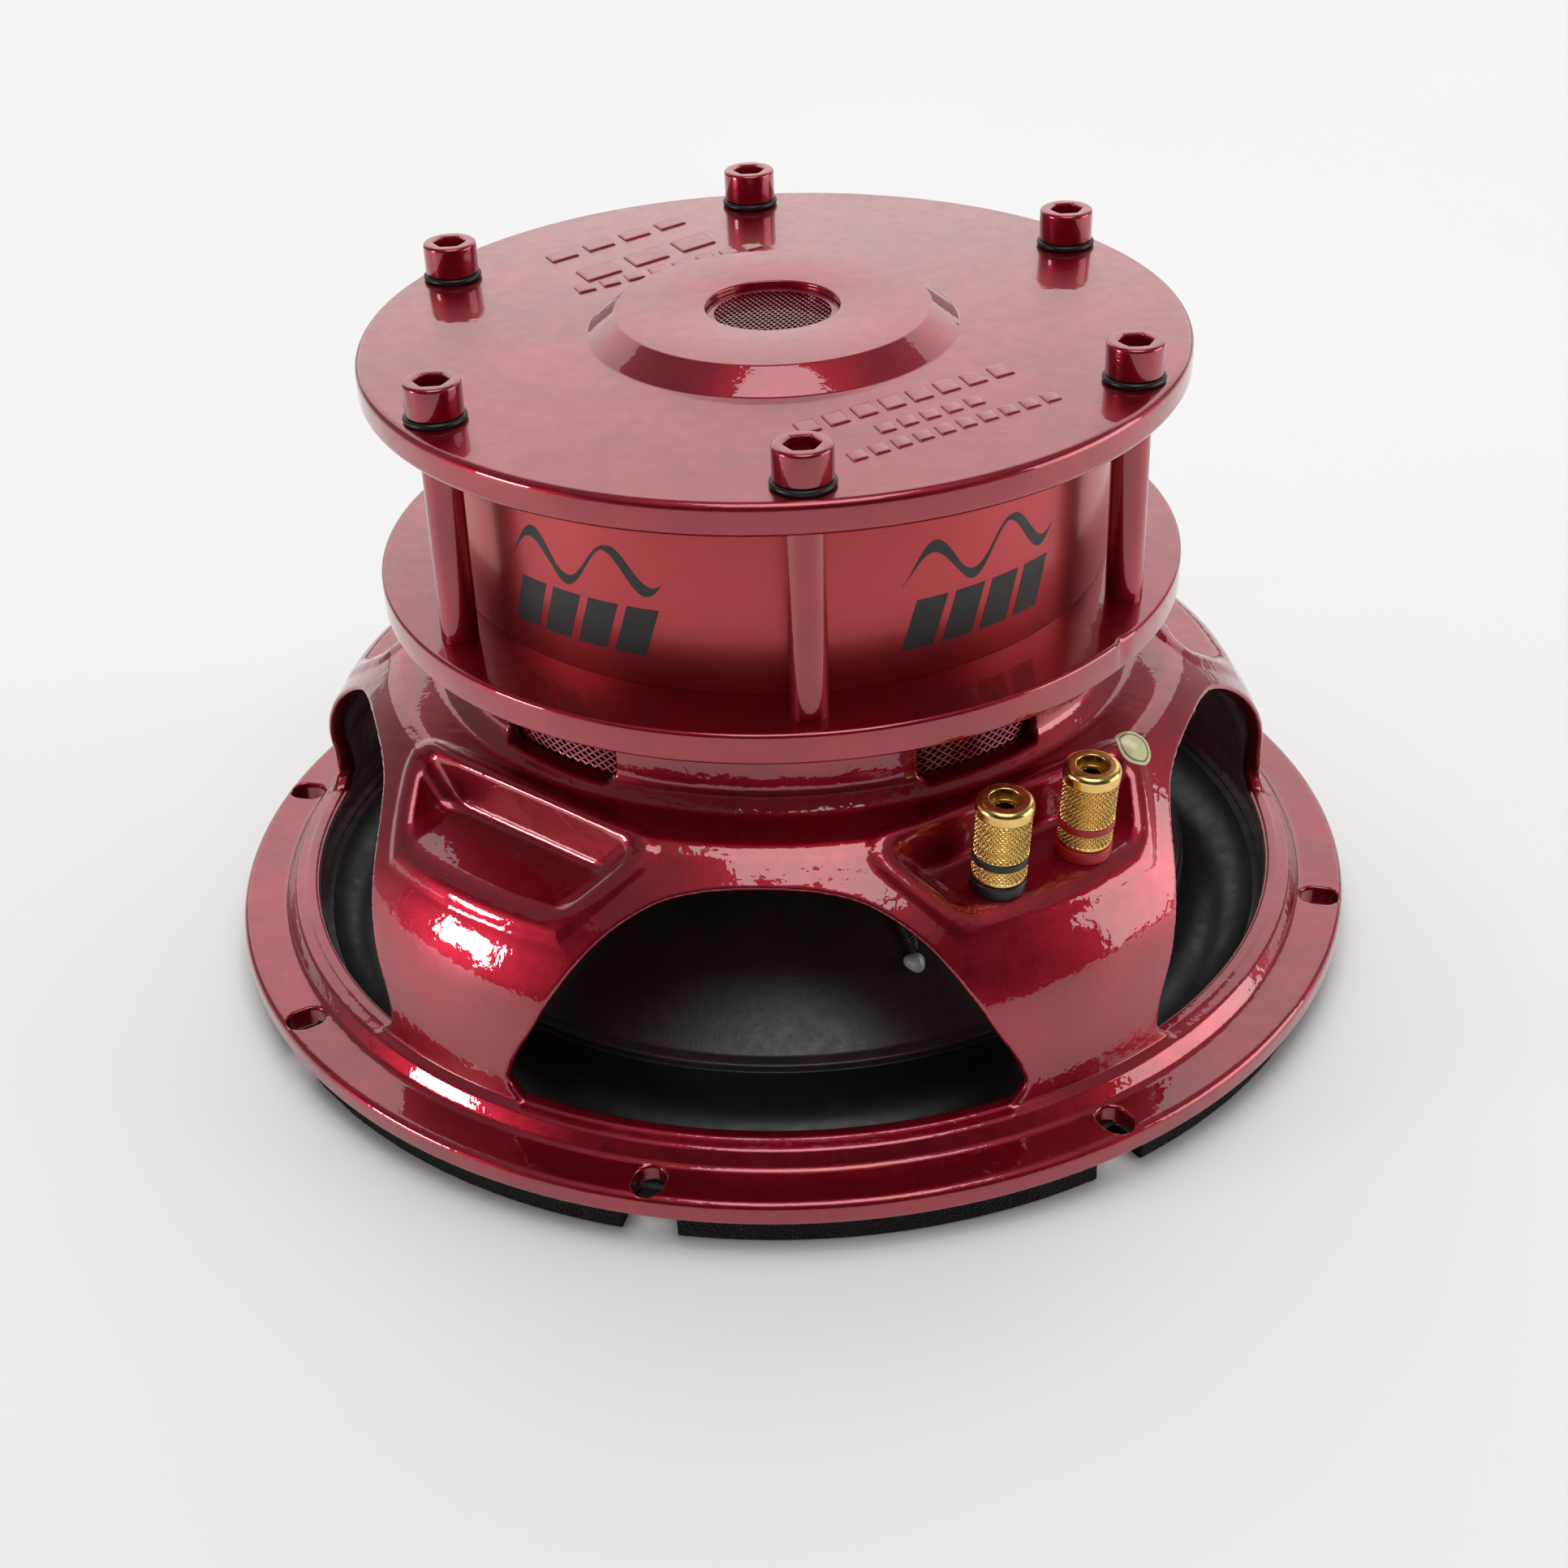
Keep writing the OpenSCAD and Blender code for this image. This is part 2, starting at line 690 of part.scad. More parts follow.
module knob(side) {
    color([0.85, 0.65, 0.25]) at_post(side) translate([0, 0, knob_z]) difference() {
        rotate_extrude() union() {
            translate([0, 0.4]) square([knob_r - 0.25, knob_h - knob_top_r - 0.4]);
            translate([0, 0]) square([knob_r - 0.65, knob_h - knob_top_r]);
            translate([0, knob_h - 3]) square([knob_r - knob_top_r, 3]);
            translate([knob_r - knob_top_r, knob_h - knob_top_r]) circle(knob_top_r);
        }
        translate([0, 0, -1]) cylinder(r = stud_r + stud_gap, h = knob_h + 2, $fn = 48);
        translate([0, 0, knob_h - 2.4]) cylinder(r = 3.3, h = 3, $fn = 48);
        // groove for the coloured band
        translate([0, 0, band_z - knob_z]) difference() {
            cylinder(r = knob_r + 1, h = band_h);
            translate([0, 0, -1]) cylinder(r = knob_r - band_in, h = band_h + 2);
        }
    }
}

module knob_band(side, tint) {
    color(tint) at_post(side)
        ring(knob_r - 0.05, knob_r - band_in + 0.03, band_z + 0.03, band_z + band_h - 0.03);
}

module post_washer(side) {
    color([0.1, 0.1, 0.1]) at_post(side)
        ring(5.2, stem_r + 0.1, z_washer, z_washer + washer_t);
}

module post_lug(side) {
    color([0.8, 0.75, 0.6]) at_post(side) translate([0, 0, z_lug]) difference() {
        union() {
            cylinder(r = 4.4, h = lug_t, $fn = 48);
            translate([-lug_l, -1.6, 0]) cube([lug_l - 2.5, 3.2, lug_t]);
        }
        translate([0, 0, -1]) cylinder(r = stem_r + 0.1, h = 3, $fn = 48);
        translate([1.5 - lug_l, 0, -1]) cylinder(r = 0.8, h = 3, $fn = 24);
    }
}

module post_nut(side) {
    color([0.83, 0.62, 0.2]) at_post(side) translate([0, 0, z_nut]) difference() {
        cylinder(r = 4 / cos(30), h = nut_t, $fn = 6);
        translate([0, 0, -1]) cylinder(r = stem_r + 0.05, h = 6, $fn = 48);
    }
}

module post_base_black() { post_base(-1, black); }
module post_stud_black() { post_stud(-1); }
module knob_black() { knob(-1); }
module knob_band_black() { knob_band(-1, black); }
module post_washer_black() { post_washer(-1); }
module post_nut_black() { post_nut(-1); }
module post_lug_black() { post_lug(-1); }
module post_base_red() { post_base(1, red); }
module post_stud_red() { post_stud(1); }
module knob_red() { knob(1); }
module knob_band_red() { knob_band(1, red); }
module post_washer_red() { post_washer(1); }
module post_nut_red() { post_nut(1); }
module post_lug_red() { post_lug(1); }

// round paper sticker on the shoulder of the terminal arm
module origin_sticker() {
    sticker_in = 3;
    sticker_r = 4.5;
    fall = atan((brow[1] - bend[1]) / (bend[0] - brow[0]));
    color([0.8, 0.72, 0.45]) rotate([0, 0, post_turn + 22])
        translate([shelf_r + sticker_in, 0, z_shelf - sticker_in * tan(fall)]) rotate([0, fall, 0])
            translate([0, 0, 0.1]) cylinder(r = sticker_r, h = 0.3, $fn = 64);
}

basket();
front_plate();
magnet_front();
magnet_rear();
magnet_cover();
back_plate();
vent_screen();
cap_screws();
o_rings();
neck_screen();
plate_screws();
spider();
surround();
gasket_1();
gasket_2();
gasket_3();
gasket_4();
gasket_5();
gasket_6();
gasket_7();
gasket_8();
origin_sticker();
cone();
dust_cap();
coil_former();
voice_coil();
lead_black();
lead_red();
lead_pad_black();
lead_pad_red();
post_base_black();
post_stud_black();
knob_black();
knob_band_black();
post_washer_black();
post_nut_black();
post_lug_black();
post_base_red();
post_stud_red();
knob_red();
knob_band_red();
post_washer_red();
post_nut_red();
post_lug_red();
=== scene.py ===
"""Looks of the car subwoofer driver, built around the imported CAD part. Metres; meshes are worked out in mm."""
import math
from itertools import product

import bmesh
import bpy
import numpy as np
from mathutils import Matrix, Vector


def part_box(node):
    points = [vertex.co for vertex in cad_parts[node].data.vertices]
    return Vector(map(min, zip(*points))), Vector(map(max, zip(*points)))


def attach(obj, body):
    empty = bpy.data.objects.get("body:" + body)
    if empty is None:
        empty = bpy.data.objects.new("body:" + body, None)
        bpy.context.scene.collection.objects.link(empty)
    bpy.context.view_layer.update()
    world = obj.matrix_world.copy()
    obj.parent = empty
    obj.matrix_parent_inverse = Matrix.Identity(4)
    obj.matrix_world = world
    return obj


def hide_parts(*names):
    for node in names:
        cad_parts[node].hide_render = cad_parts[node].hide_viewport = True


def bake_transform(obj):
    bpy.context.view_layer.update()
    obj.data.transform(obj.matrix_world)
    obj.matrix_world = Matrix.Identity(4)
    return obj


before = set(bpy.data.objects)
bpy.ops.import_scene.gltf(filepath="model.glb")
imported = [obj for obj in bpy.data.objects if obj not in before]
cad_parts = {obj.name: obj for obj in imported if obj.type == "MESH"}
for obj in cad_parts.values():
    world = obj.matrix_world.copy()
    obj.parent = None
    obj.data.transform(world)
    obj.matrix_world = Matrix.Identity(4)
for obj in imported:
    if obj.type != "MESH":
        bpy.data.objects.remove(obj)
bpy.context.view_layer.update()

MM = 0.001
FLIP = [0, 3, 2, 1]
rng = np.random.default_rng(7)
pi = math.pi


def box_mm(node):
    lo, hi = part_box(node)
    return np.array(lo) / MM, np.array(hi) / MM


# ---- sizes in mm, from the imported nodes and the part's own proportions ----

basket_lo, basket_hi = box_mm("basket")
FLANGE_R = basket_hi[0]
Z_FACE, Z_NECK = basket_lo[2], basket_hi[2]
Z_FLANGE = Z_FACE + 5.2
Z_LIP = Z_FLANGE + 4.2
Z_SHELF = Z_NECK - 19.3
PLATE_R, _, Z_FRONT = box_mm("front_plate")[1]
COVER_R, _, Z_BACK = box_mm("magnet_cover")[1]
Z_BUMP = box_mm("back_plate")[1][2]
Z_TOP = Z_BUMP - 4.7
Z_HEAD = box_mm("cap_screws")[1][2]
SCREW_R = PLATE_R - 8.3
SCREW_TURN = 37.1
ARM_TURN = 306.0
SLOT_TURN = 304.7
BASE_R = FLANGE_R - 14.6
WALL = 4.0
BORE_R = BASE_R - WALL
SEAT_R = BORE_R + 10
NECK_R = PLATE_R - 13.7
NECK_IN_R = NECK_R - 0.6 * WALL
DECK_T = WALL - 0.5
GAP_R = 34.6
SHELF_R = PLATE_R + 0.3
POST_R = SHELF_R + 12.3 - 6
POST_GAP = 22.2
POST_LEAN = math.radians(5.5)
Z_POST = Z_SHELF - 11.9
KNOB_R, KNOB_H, KNOB_Z = 6.0, 18.6, 3.05
CONE_R = box_mm("cone")[1][0]
Z_RIM = Z_LIP + 0.5
NECK_OUT_R = 33.9
CONE_SLOPE = 0.717
Z_COLLAR = Z_RIM + (CONE_R - 3 - NECK_OUT_R) * CONE_SLOPE

# ---- camera: placed as the photographer stood ----

EL, ROLL, TURN = math.radians(31.943), math.radians(-2.047), math.radians(4.0)
CAMERA_AT = (-0.001199, -0.494296, 0.336875)
LENS, SENSOR = 55.51, 36


def place_camera():
    cam = bpy.data.cameras.new("camera")
    cam.sensor_width, cam.lens = SENSOR, LENS
    cam.clip_start, cam.clip_end = 0.01, 50
    ob = bpy.data.objects.new("camera", cam)
    bpy.context.scene.collection.objects.link(ob)
    look = Matrix.Rotation(pi / 2 - EL, 4, "X") @ Matrix.Rotation(ROLL, 4, "Z")
    ob.matrix_world = Matrix.Rotation(TURN, 4, "Z") @ Matrix.Translation(CAMERA_AT) @ look
    bpy.context.scene.camera = ob


place_camera()

# ---- mesh tools ----


def new_mesh(name, verts, faces, mat, smooth=40):
    """A mesh object from points in mm. smooth is the angle above which an edge stays sharp."""
    me = bpy.data.meshes.new(name)
    verts = np.asarray(verts, float) * MM
    me.vertices.add(len(verts))
    me.vertices.foreach_set("co", verts.astype(np.float32).ravel())
    sizes = np.array([len(f) for f in faces])
    loops = np.concatenate(faces)
    me.loops.add(len(loops))
    me.loops.foreach_set("vertex_index", loops.astype(np.int32))
    me.polygons.add(len(sizes))
    me.polygons.foreach_set("loop_start", np.concatenate([[0], np.cumsum(sizes)[:-1]]).astype(np.int32))
    me.polygons.foreach_set("loop_total", sizes.astype(np.int32))
    me.polygons.foreach_set("use_smooth", np.ones(len(sizes), bool))
    me.update(calc_edges=True)
    me.validate()
    if smooth < 180:
        me.set_sharp_from_angle(angle=math.radians(smooth))
    ob = bpy.data.objects.new(name, me)
    bpy.context.scene.collection.objects.link(ob)
    if mat:
        me.materials.append(mat)
    return ob


def join_parts(parts):
    """One (verts, faces) from several."""
    vs, fs, base = [], [], 0
    for v, f in parts:
        vs.append(np.asarray(v, float))
        fs += [[i + base for i in q] for q in (f.tolist() if isinstance(f, np.ndarray) else f)]
        base += len(v)
    return np.vstack(vs), fs


def spun(x, y, a):
    """x and y turned by a radians."""
    c, s = math.cos(a), math.sin(a)
    return x * c - y * s, x * s + y * c


def polar(r, a, z):
    """Points at radius r, angle a in radians and height z."""
    r, a, z = np.broadcast_arrays(r, a, z)
    return np.stack([r * np.cos(a), r * np.sin(a), z], -1)


def grid_faces(rows, cols, wrap_rows=False, wrap_cols=False):
    """Quads over points that are kept row by row."""
    i = np.arange(rows if wrap_rows else rows - 1)[:, None]
    j = np.arange(cols if wrap_cols else cols - 1)[None, :]
    i2, j2 = (i + 1) % rows, (j + 1) % cols
    return np.stack([i * cols + j, i2 * cols + j, i2 * cols + j2, i * cols + j2], -1).reshape(-1, 4)


def loft_faces(rings, sides):
    """Quads between rings of points, with both ends closed."""
    side = grid_faces(rings, sides, wrap_cols=True)[:, FLIP]
    return side.tolist() + [list(range(sides))[::-1], [(rings - 1) * sides + j for j in range(sides)]]


def revolve(profile, n=256, a0=0.0, a1=360.0):
    """Closed profile of (r, z) points, in order with the solid on its left, turned about Z."""
    p = np.asarray(profile, float)
    full = abs(a1 - a0) >= 360
    k, m = n if full else n + 1, len(p)
    ang = np.radians(a0 + (a1 - a0) * np.arange(k) / n)
    v = polar(p[None, :, 0], ang[:, None], p[None, :, 1]).reshape(-1, 3)
    faces = grid_faces(k, m, full, True).tolist()
    if not full:
        faces.append(list(range(m))[::-1])
        faces.append([(k - 1) * m + q for q in range(m)])
    return v, faces

def rounded(points, radii, step=0.35, closed=True):
    """A polyline whose corners are rounded, each by its own radius."""
    pts = [np.array(p, float) for p in points]
    n = len(pts)
    out = []
    for i, c in enumerate(pts):
        r = radii[i] if not np.isscalar(radii) else radii
        if not closed and i in (0, n - 1):
            out.append(c)
            continue
        a, b = pts[i - 1], pts[(i + 1) % n]
        la, lb = np.linalg.norm(a - c), np.linalg.norm(b - c)
        u, w = (a - c) / la, (b - c) / lb
        cosang = float(np.clip(u @ w, -1, 1))
        half = math.acos(cosang) / 2
        if r <= 0 or half > pi / 2 - 0.02:
            out.append(c)
            continue
        t = min(r / math.tan(half), la * 0.499, lb * 0.499)
        r = t * math.tan(half)
        centre = c + (u + w) / np.linalg.norm(u + w) * r / math.sin(half)
        s, e = c + u * t - centre, c + w * t - centre
        turn = math.atan2(s[0] * e[1] - s[1] * e[0], s @ e)
        k = max(3, int(abs(turn) * r / step) + 2)
        for q in range(k + 1):
            g = turn * q / k
            out.append(centre + np.array(spun(s[0], s[1], g)))
    keep = [out[0]]
    for p in out[1:]:
        if np.linalg.norm(p - keep[-1]) > 1e-5:
            keep.append(p)
    return np.array(keep)


def spline(points, step=0.8):
    """Points along a smooth curve through the given ones."""
    p = np.array(points, float)
    p = np.vstack([2 * p[0] - p[1], p, 2 * p[-1] - p[-2]])
    out = []
    for i in range(1, len(p) - 2):
        k = max(2, int(np.linalg.norm(p[i + 1] - p[i]) / step))
        t = np.arange(k)[:, None] / k
        a, b, c, d = p[i - 1], p[i], p[i + 1], p[i + 2]
        out.append(0.5 * (2 * b + (c - a) * t + (2 * a - 5 * b + 4 * c - d) * t**2 + (3 * b - a - 3 * c + d) * t**3))
    out.append(p[-2][None])
    return np.vstack(out)


def turned(v, deg):
    """Points turned about Z."""
    v = np.asarray(v, float)
    return np.stack([*spun(v[:, 0], v[:, 1], math.radians(deg)), v[:, 2]], -1)


def leant(v, a):
    """Points tipped about Y by a radians, their top towards +X."""
    z, x = spun(v[:, 2], v[:, 0], a)
    return np.stack([x, v[:, 1], z], -1)


def at_post(v, side):
    """Moves points from a binding post's own frame to where it stands."""
    v = leant(np.asarray(v, float), POST_LEAN)
    return turned(v + np.array([POST_R, side * POST_GAP / 2, Z_POST]), ARM_TURN)


def across(path):
    """Two directions square to a path, at each of its points."""
    d = np.gradient(path, axis=0)
    d /= np.linalg.norm(d, axis=1)[:, None]
    u = np.cross(d, [0.31, 0.22, 0.92])
    u /= np.linalg.norm(u, axis=1)[:, None]
    return u, np.cross(d, u)


def strand(path, radius, sides):
    """A closed round wire along a path."""
    u, w = across(path)
    t = 2 * pi * np.arange(sides) / sides
    v = path[:, None] + radius * (np.cos(t)[None, :, None] * u[:, None] + np.sin(t)[None, :, None] * w[:, None])
    return v.reshape(-1, 3), loft_faces(len(path), sides)


def finer(profile, longest):
    """A closed profile with its long edges divided."""
    out = []
    for a, b in zip(profile, np.roll(profile, -1, 0)):
        k = max(1, int(np.linalg.norm(b - a) / longest))
        out += [a + (b - a) * i / k for i in range(k)]
    return np.array(out)


def close_points(ob):
    """Joins points that lie on each other, such as the middle of a disc."""
    bm = bmesh.new()
    bm.from_mesh(ob.data)
    bmesh.ops.remove_doubles(bm, verts=bm.verts, dist=1e-7)
    bm.to_mesh(ob.data)
    bm.free()

# ---- distance fields, for the casting ----


def polygon_field(x, y, poly):
    """Signed distance to a polygon, negative inside."""
    shape = np.broadcast(x, y).shape
    x, y = np.broadcast_to(x, shape).ravel(), np.broadcast_to(y, shape).ravel()
    out = np.empty(len(x))
    ax, ay = np.asarray(poly, float).T
    by = np.roll(ay, -1)
    ex, ey = np.roll(ax, -1) - ax, by - ay
    rise = np.where(ey == 0, 1e-12, ey)
    for s in range(0, len(x), 40000):
        px, py = x[s:s + 40000, None], y[s:s + 40000, None]
        wx, wy = px - ax, py - ay
        t = np.clip((wx * ex + wy * ey) / (ex * ex + ey * ey), 0, 1)
        d2 = (wx - t * ex) ** 2 + (wy - t * ey) ** 2
        inside = (((ay > py) != (by > py)) & (px < ex * wy / rise + ax)).sum(1) % 2 == 1
        out[s:s + 40000] = np.where(inside, -1, 1) * np.sqrt(d2.min(1))
    return out.reshape(shape)


class Table:
    """A plane field kept on a fine grid and read back smoothly."""

    def __init__(self, poly, lo, hi, step):
        self.lo, self.step = np.array(lo, float), step
        nx, ny = int((hi[0] - lo[0]) / step) + 4, int((hi[1] - lo[1]) / step) + 4
        gx = self.lo[0] + step * (np.arange(nx) - 1)
        gy = self.lo[1] + step * (np.arange(ny) - 1)
        self.g = polygon_field(gx[:, None], gy[None, :], poly)

    def __call__(self, x, y):
        u = np.clip((x - self.lo[0]) / self.step + 1, 1, self.g.shape[0] - 2.001)
        v = np.clip((y - self.lo[1]) / self.step + 1, 1, self.g.shape[1] - 2.001)
        i, j = u.astype(int), v.astype(int)
        fu, fv = u - i, v - j

        def weights(f):
            return (-0.5 * f + f**2 - 0.5 * f**3, 1 - 2.5 * f**2 + 1.5 * f**3,
                    0.5 * f + 2 * f**2 - 1.5 * f**3, -0.5 * f**2 + 0.5 * f**3)

        wu, wv = weights(fu), weights(fv)
        out = 0
        for a in range(4):
            row = sum(wv[b] * self.g[i + a - 1, j + b - 1] for b in range(4))
            out = out + wu[a] * row
        return out


def cut(a, b, k):
    """a without b, with the new edge rounded by k."""
    return both(a, -b, k)


def both(a, b, k):
    if k <= 0:
        return np.maximum(a, b)
    u, v = np.maximum(k + a, 0), np.maximum(k + b, 0)
    return np.minimum(-k, np.maximum(a, b)) + np.sqrt(u * u + v * v)


def either(a, b, k):
    return -both(-a, -b, k)


WALL_LINE = [(BASE_R - r, Z_LIP + z) for r, z in (
    (0, 0), (1, 8.5), (2.1, 16.5), (3.8, 23.5), (6.1, 29), (9.4, 34.5), (15.4, 41.5))] + [(SHELF_R + 1.5, Z_SHELF - 1.6)]


def basket_outline():
    flange = rounded(
        [(GAP_R + 8, Z_FACE), (FLANGE_R, Z_FACE), (FLANGE_R, Z_FLANGE), (BASE_R + 4.3, Z_FLANGE),
         (BASE_R + 1.9, Z_LIP - 0.6), (BASE_R, Z_LIP + 0.1)], [0, 0.8, 1.7, 2.2, 1.6, 0], closed=False)
    wall = spline(WALL_LINE)[1:]
    top = rounded(
        [wall[-1], (SHELF_R - 1.6, Z_SHELF + 0.2), (NECK_R + 4, Z_SHELF + 0.6), (NECK_R, Z_SHELF + 4.5),
         (NECK_R, Z_NECK), (GAP_R + 8, Z_NECK)], [0, 4, 3.5, 3.5, 0.4, 0], closed=False)[1:]
    return np.vstack([flange, wall, top])


def cavity_outline():
    wall = spline(WALL_LINE)
    d = np.gradient(wall, axis=0)
    n = np.stack([d[:, 1], -d[:, 0]], -1) / np.linalg.norm(d, axis=1)[:, None]
    inner = wall - n * WALL
    inner = inner[inner[:, 1] > Z_LIP + 1]
    inner = inner[inner[:, 1] < Z_SHELF - WALL - 0.7]
    return np.vstack([
        [(0, Z_FACE - 6), (BORE_R, Z_FACE - 6), (BORE_R, Z_LIP)], inner,
        [(NECK_IN_R + 2, Z_SHELF - WALL - 0.2), (NECK_IN_R, Z_SHELF - WALL + 2), (NECK_IN_R, Z_NECK - DECK_T),
         (0, Z_NECK - DECK_T)]])


WINDOW_HALF = [(x, Z_LIP + z) for x, z in (
    (50.3, 0.3), (51.6, 1.6), (53.2, 4.6), (51.0, 11), (47.0, 18), (43.6, 24), (38.6, 30.8), (33.6, 36), (27.2, 40.6),
    (19.4, 44.2), (10, 46.1), (0, 46.6))]


def window_outline():
    half = spline(WINDOW_HALF, 0.7)
    left = half[::-1].copy()
    left[:, 0] *= -1
    return np.vstack([half, left[1:]])


outer_field = Table(basket_outline(), (GAP_R, Z_FACE - 4), (FLANGE_R + 4, Z_NECK + 4), 0.25)
cavity_field = Table(cavity_outline(), (GAP_R, Z_FACE - 4), (FLANGE_R + 4, Z_NECK + 4), 0.25)
window_field = Table(window_outline(), (-3, Z_FACE - 4), (84, Z_NECK + 4), 0.4)


def fold(phi):
    """Angle from the nearest window's middle, 0 to 36 degrees."""
    a = np.mod(phi + pi / 2 + pi / 5, 2 * pi / 5) - pi / 5
    return np.abs(a)


def basket_core(r, a, z):
    """Everything that repeats on each fifth of the basket. a is the folded angle."""
    d_out, d_cav = outer_field(r, z), cavity_field(r, z)
    b = pi / 5 - a
    u, v = r * np.cos(b), r * np.sin(b)
    rise = -(z - Z_POST) * math.cos(POST_LEAN) - (u - POST_R) * math.sin(POST_LEAN)
    side = (np.abs(v) - 22.6 - 0.95 * np.clip(-rise, -WALL, 14)) * 0.725
    plan = both(side, POST_R - 10.6 - u, 4.0)
    pocket = both(plan, rise, 2.0)
    shell = both(d_out, np.maximum(plan, rise) - WALL * 0.9, 1.5)
    d = cut(d_out, d_cav, 0.5)
    d = either(d, shell, 2.0)
    d = cut(d, pocket, 2.2)
    x = r * np.sin(a)
    d = cut(d, np.maximum(window_field(x, z), 60 - r), 1.35)
    vx, vz = np.abs(b) * NECK_R - 15.6 + 2.5, np.abs(z - (Z_SHELF + 9.3)) - 6.4 + 2.5
    vent = np.minimum(np.maximum(vx, vz), 0) + np.hypot(np.maximum(vx, 0), np.maximum(vz, 0)) - 2.5
    return cut(d, np.maximum(np.maximum(vent, 67 - r), r - 82), 0.5)


def slot_field(x, y):
    best = np.full(np.shape(x), 1e3)
    r_mid = FLANGE_R - 1 - 8.7 / 2
    for i in range(8):
        t = math.radians(SLOT_TURN + 45 * i)
        u, v = x * math.cos(t) + y * math.sin(t) - r_mid, -x * math.sin(t) + y * math.cos(t)
        best = np.minimum(best, np.hypot(u - np.clip(u, -1.05, 1.05), v) - 3.3)
    return best


def basket_extra(d, x, y, z):
    """Slots in the flange and the seat under it."""
    r = np.hypot(x, y)
    d = cut(d, slot_field(x, y), 0.55)
    return cut(d, np.maximum(r - SEAT_R, z - Z_FACE - 1.2), 0.2)


def basket_field(x, y, z):
    r, phi = np.hypot(x, y), np.arctan2(y, x)
    return basket_extra(basket_core(r, fold(phi), z), x, y, z)


def surface(values, axes_a, axes_b, axes_c):
    """Quads around the zero of a field on a grid that closes on itself along its first axis."""
    na, nb, nc = values.shape
    neg = values < 0
    nxt = np.roll(neg, -1, 0)
    count = np.zeros((na, nb - 1, nc - 1), np.int8)
    for g, jb, jc in product((neg, nxt), (0, 1), (0, 1)):
        count += g[:, jb:nb - 1 + jb, jc:nc - 1 + jc]
    active = (count > 0) & (count < 8)
    ia, ib, ic = np.nonzero(active)
    index = np.full(active.shape, -1, np.int32)
    index[ia, ib, ic] = np.arange(len(ia))
    total = np.zeros((len(ia), 3))
    hits = np.zeros(len(ia))
    corner = {}
    for da, db, dc in product((0, 1), repeat=3):
        corner[da, db, dc] = values[(ia + da) % na, ib + db, ic + dc].astype(float)
    for p in corner:
        for ax in range(3):
            if p[ax]:
                continue
            q = list(p)
            q[ax] = 1
            f0, f1 = corner[p], corner[tuple(q)]
            on = (f0 < 0) != (f1 < 0)
            t = np.where(on, f0 / np.where(on, f0 - f1, 1), 0)
            for k in range(3):
                total[:, k] += np.where(on, p[k] + (t if k == ax else 0), 0)
            hits += on
    total /= hits[:, None]
    ga = np.concatenate([axes_a, [axes_a[0] + 2 * pi]])
    pa = ga[ia] + total[:, 0] * (ga[ia + 1] - ga[ia])
    pb = axes_b[ib] + total[:, 1] * (axes_b[ib + 1] - axes_b[ib])
    pc = axes_c[ic] + total[:, 2] * (axes_c[ic + 1] - axes_c[ic])
    quads = []

    def across_edges(change, first, cells):
        """Quads across grid edges whose ends differ. cells are the four cells round such an edge."""
        a, b, c = (k + s for k, s in zip(np.nonzero(change), first))
        q = np.stack([index[(a + da) % na, b + db, c + dc] for da, db, dc in cells], -1)
        quads.append(np.where(neg[a, b, c][:, None], q, q[:, ::-1]))

    across_edges(neg[:, 1:-1, 1:-1] != nxt[:, 1:-1, 1:-1], (0, 1, 1), [(0, -1, -1), (0, 0, -1), (0, 0, 0), (0, -1, 0)])
    across_edges(neg[:, :-1, 1:-1] != neg[:, 1:, 1:-1], (0, 0, 1), [(-1, 0, -1), (-1, 0, 0), (0, 0, 0), (0, 0, -1)])
    across_edges(neg[:, 1:-1, :-1] != neg[:, 1:-1, 1:], (0, 1, 0), [(-1, -1, 0), (0, -1, 0), (0, 0, 0), (-1, 0, 0)])
    quads = np.vstack(quads)
    quads = quads[(quads >= 0).all(1)][:, ::-1]
    return pa, pb, pc, quads


def settle(f, p, rounds=2, h=0.12, reach=0.6):
    """Moves points onto the zero of a field and returns them with their normals."""
    for i in range(rounds + 1):
        g = np.stack([f(*(p + np.eye(3)[k] * h).T) - f(*(p - np.eye(3)[k] * h).T) for k in range(3)], -1) / (2 * h)
        gl = np.maximum(np.linalg.norm(g, axis=1), 0.2)
        if i == rounds:
            return p, g / gl[:, None]
        p = p - g / gl[:, None] * np.clip(f(*p.T) / gl, -reach, reach)[:, None]


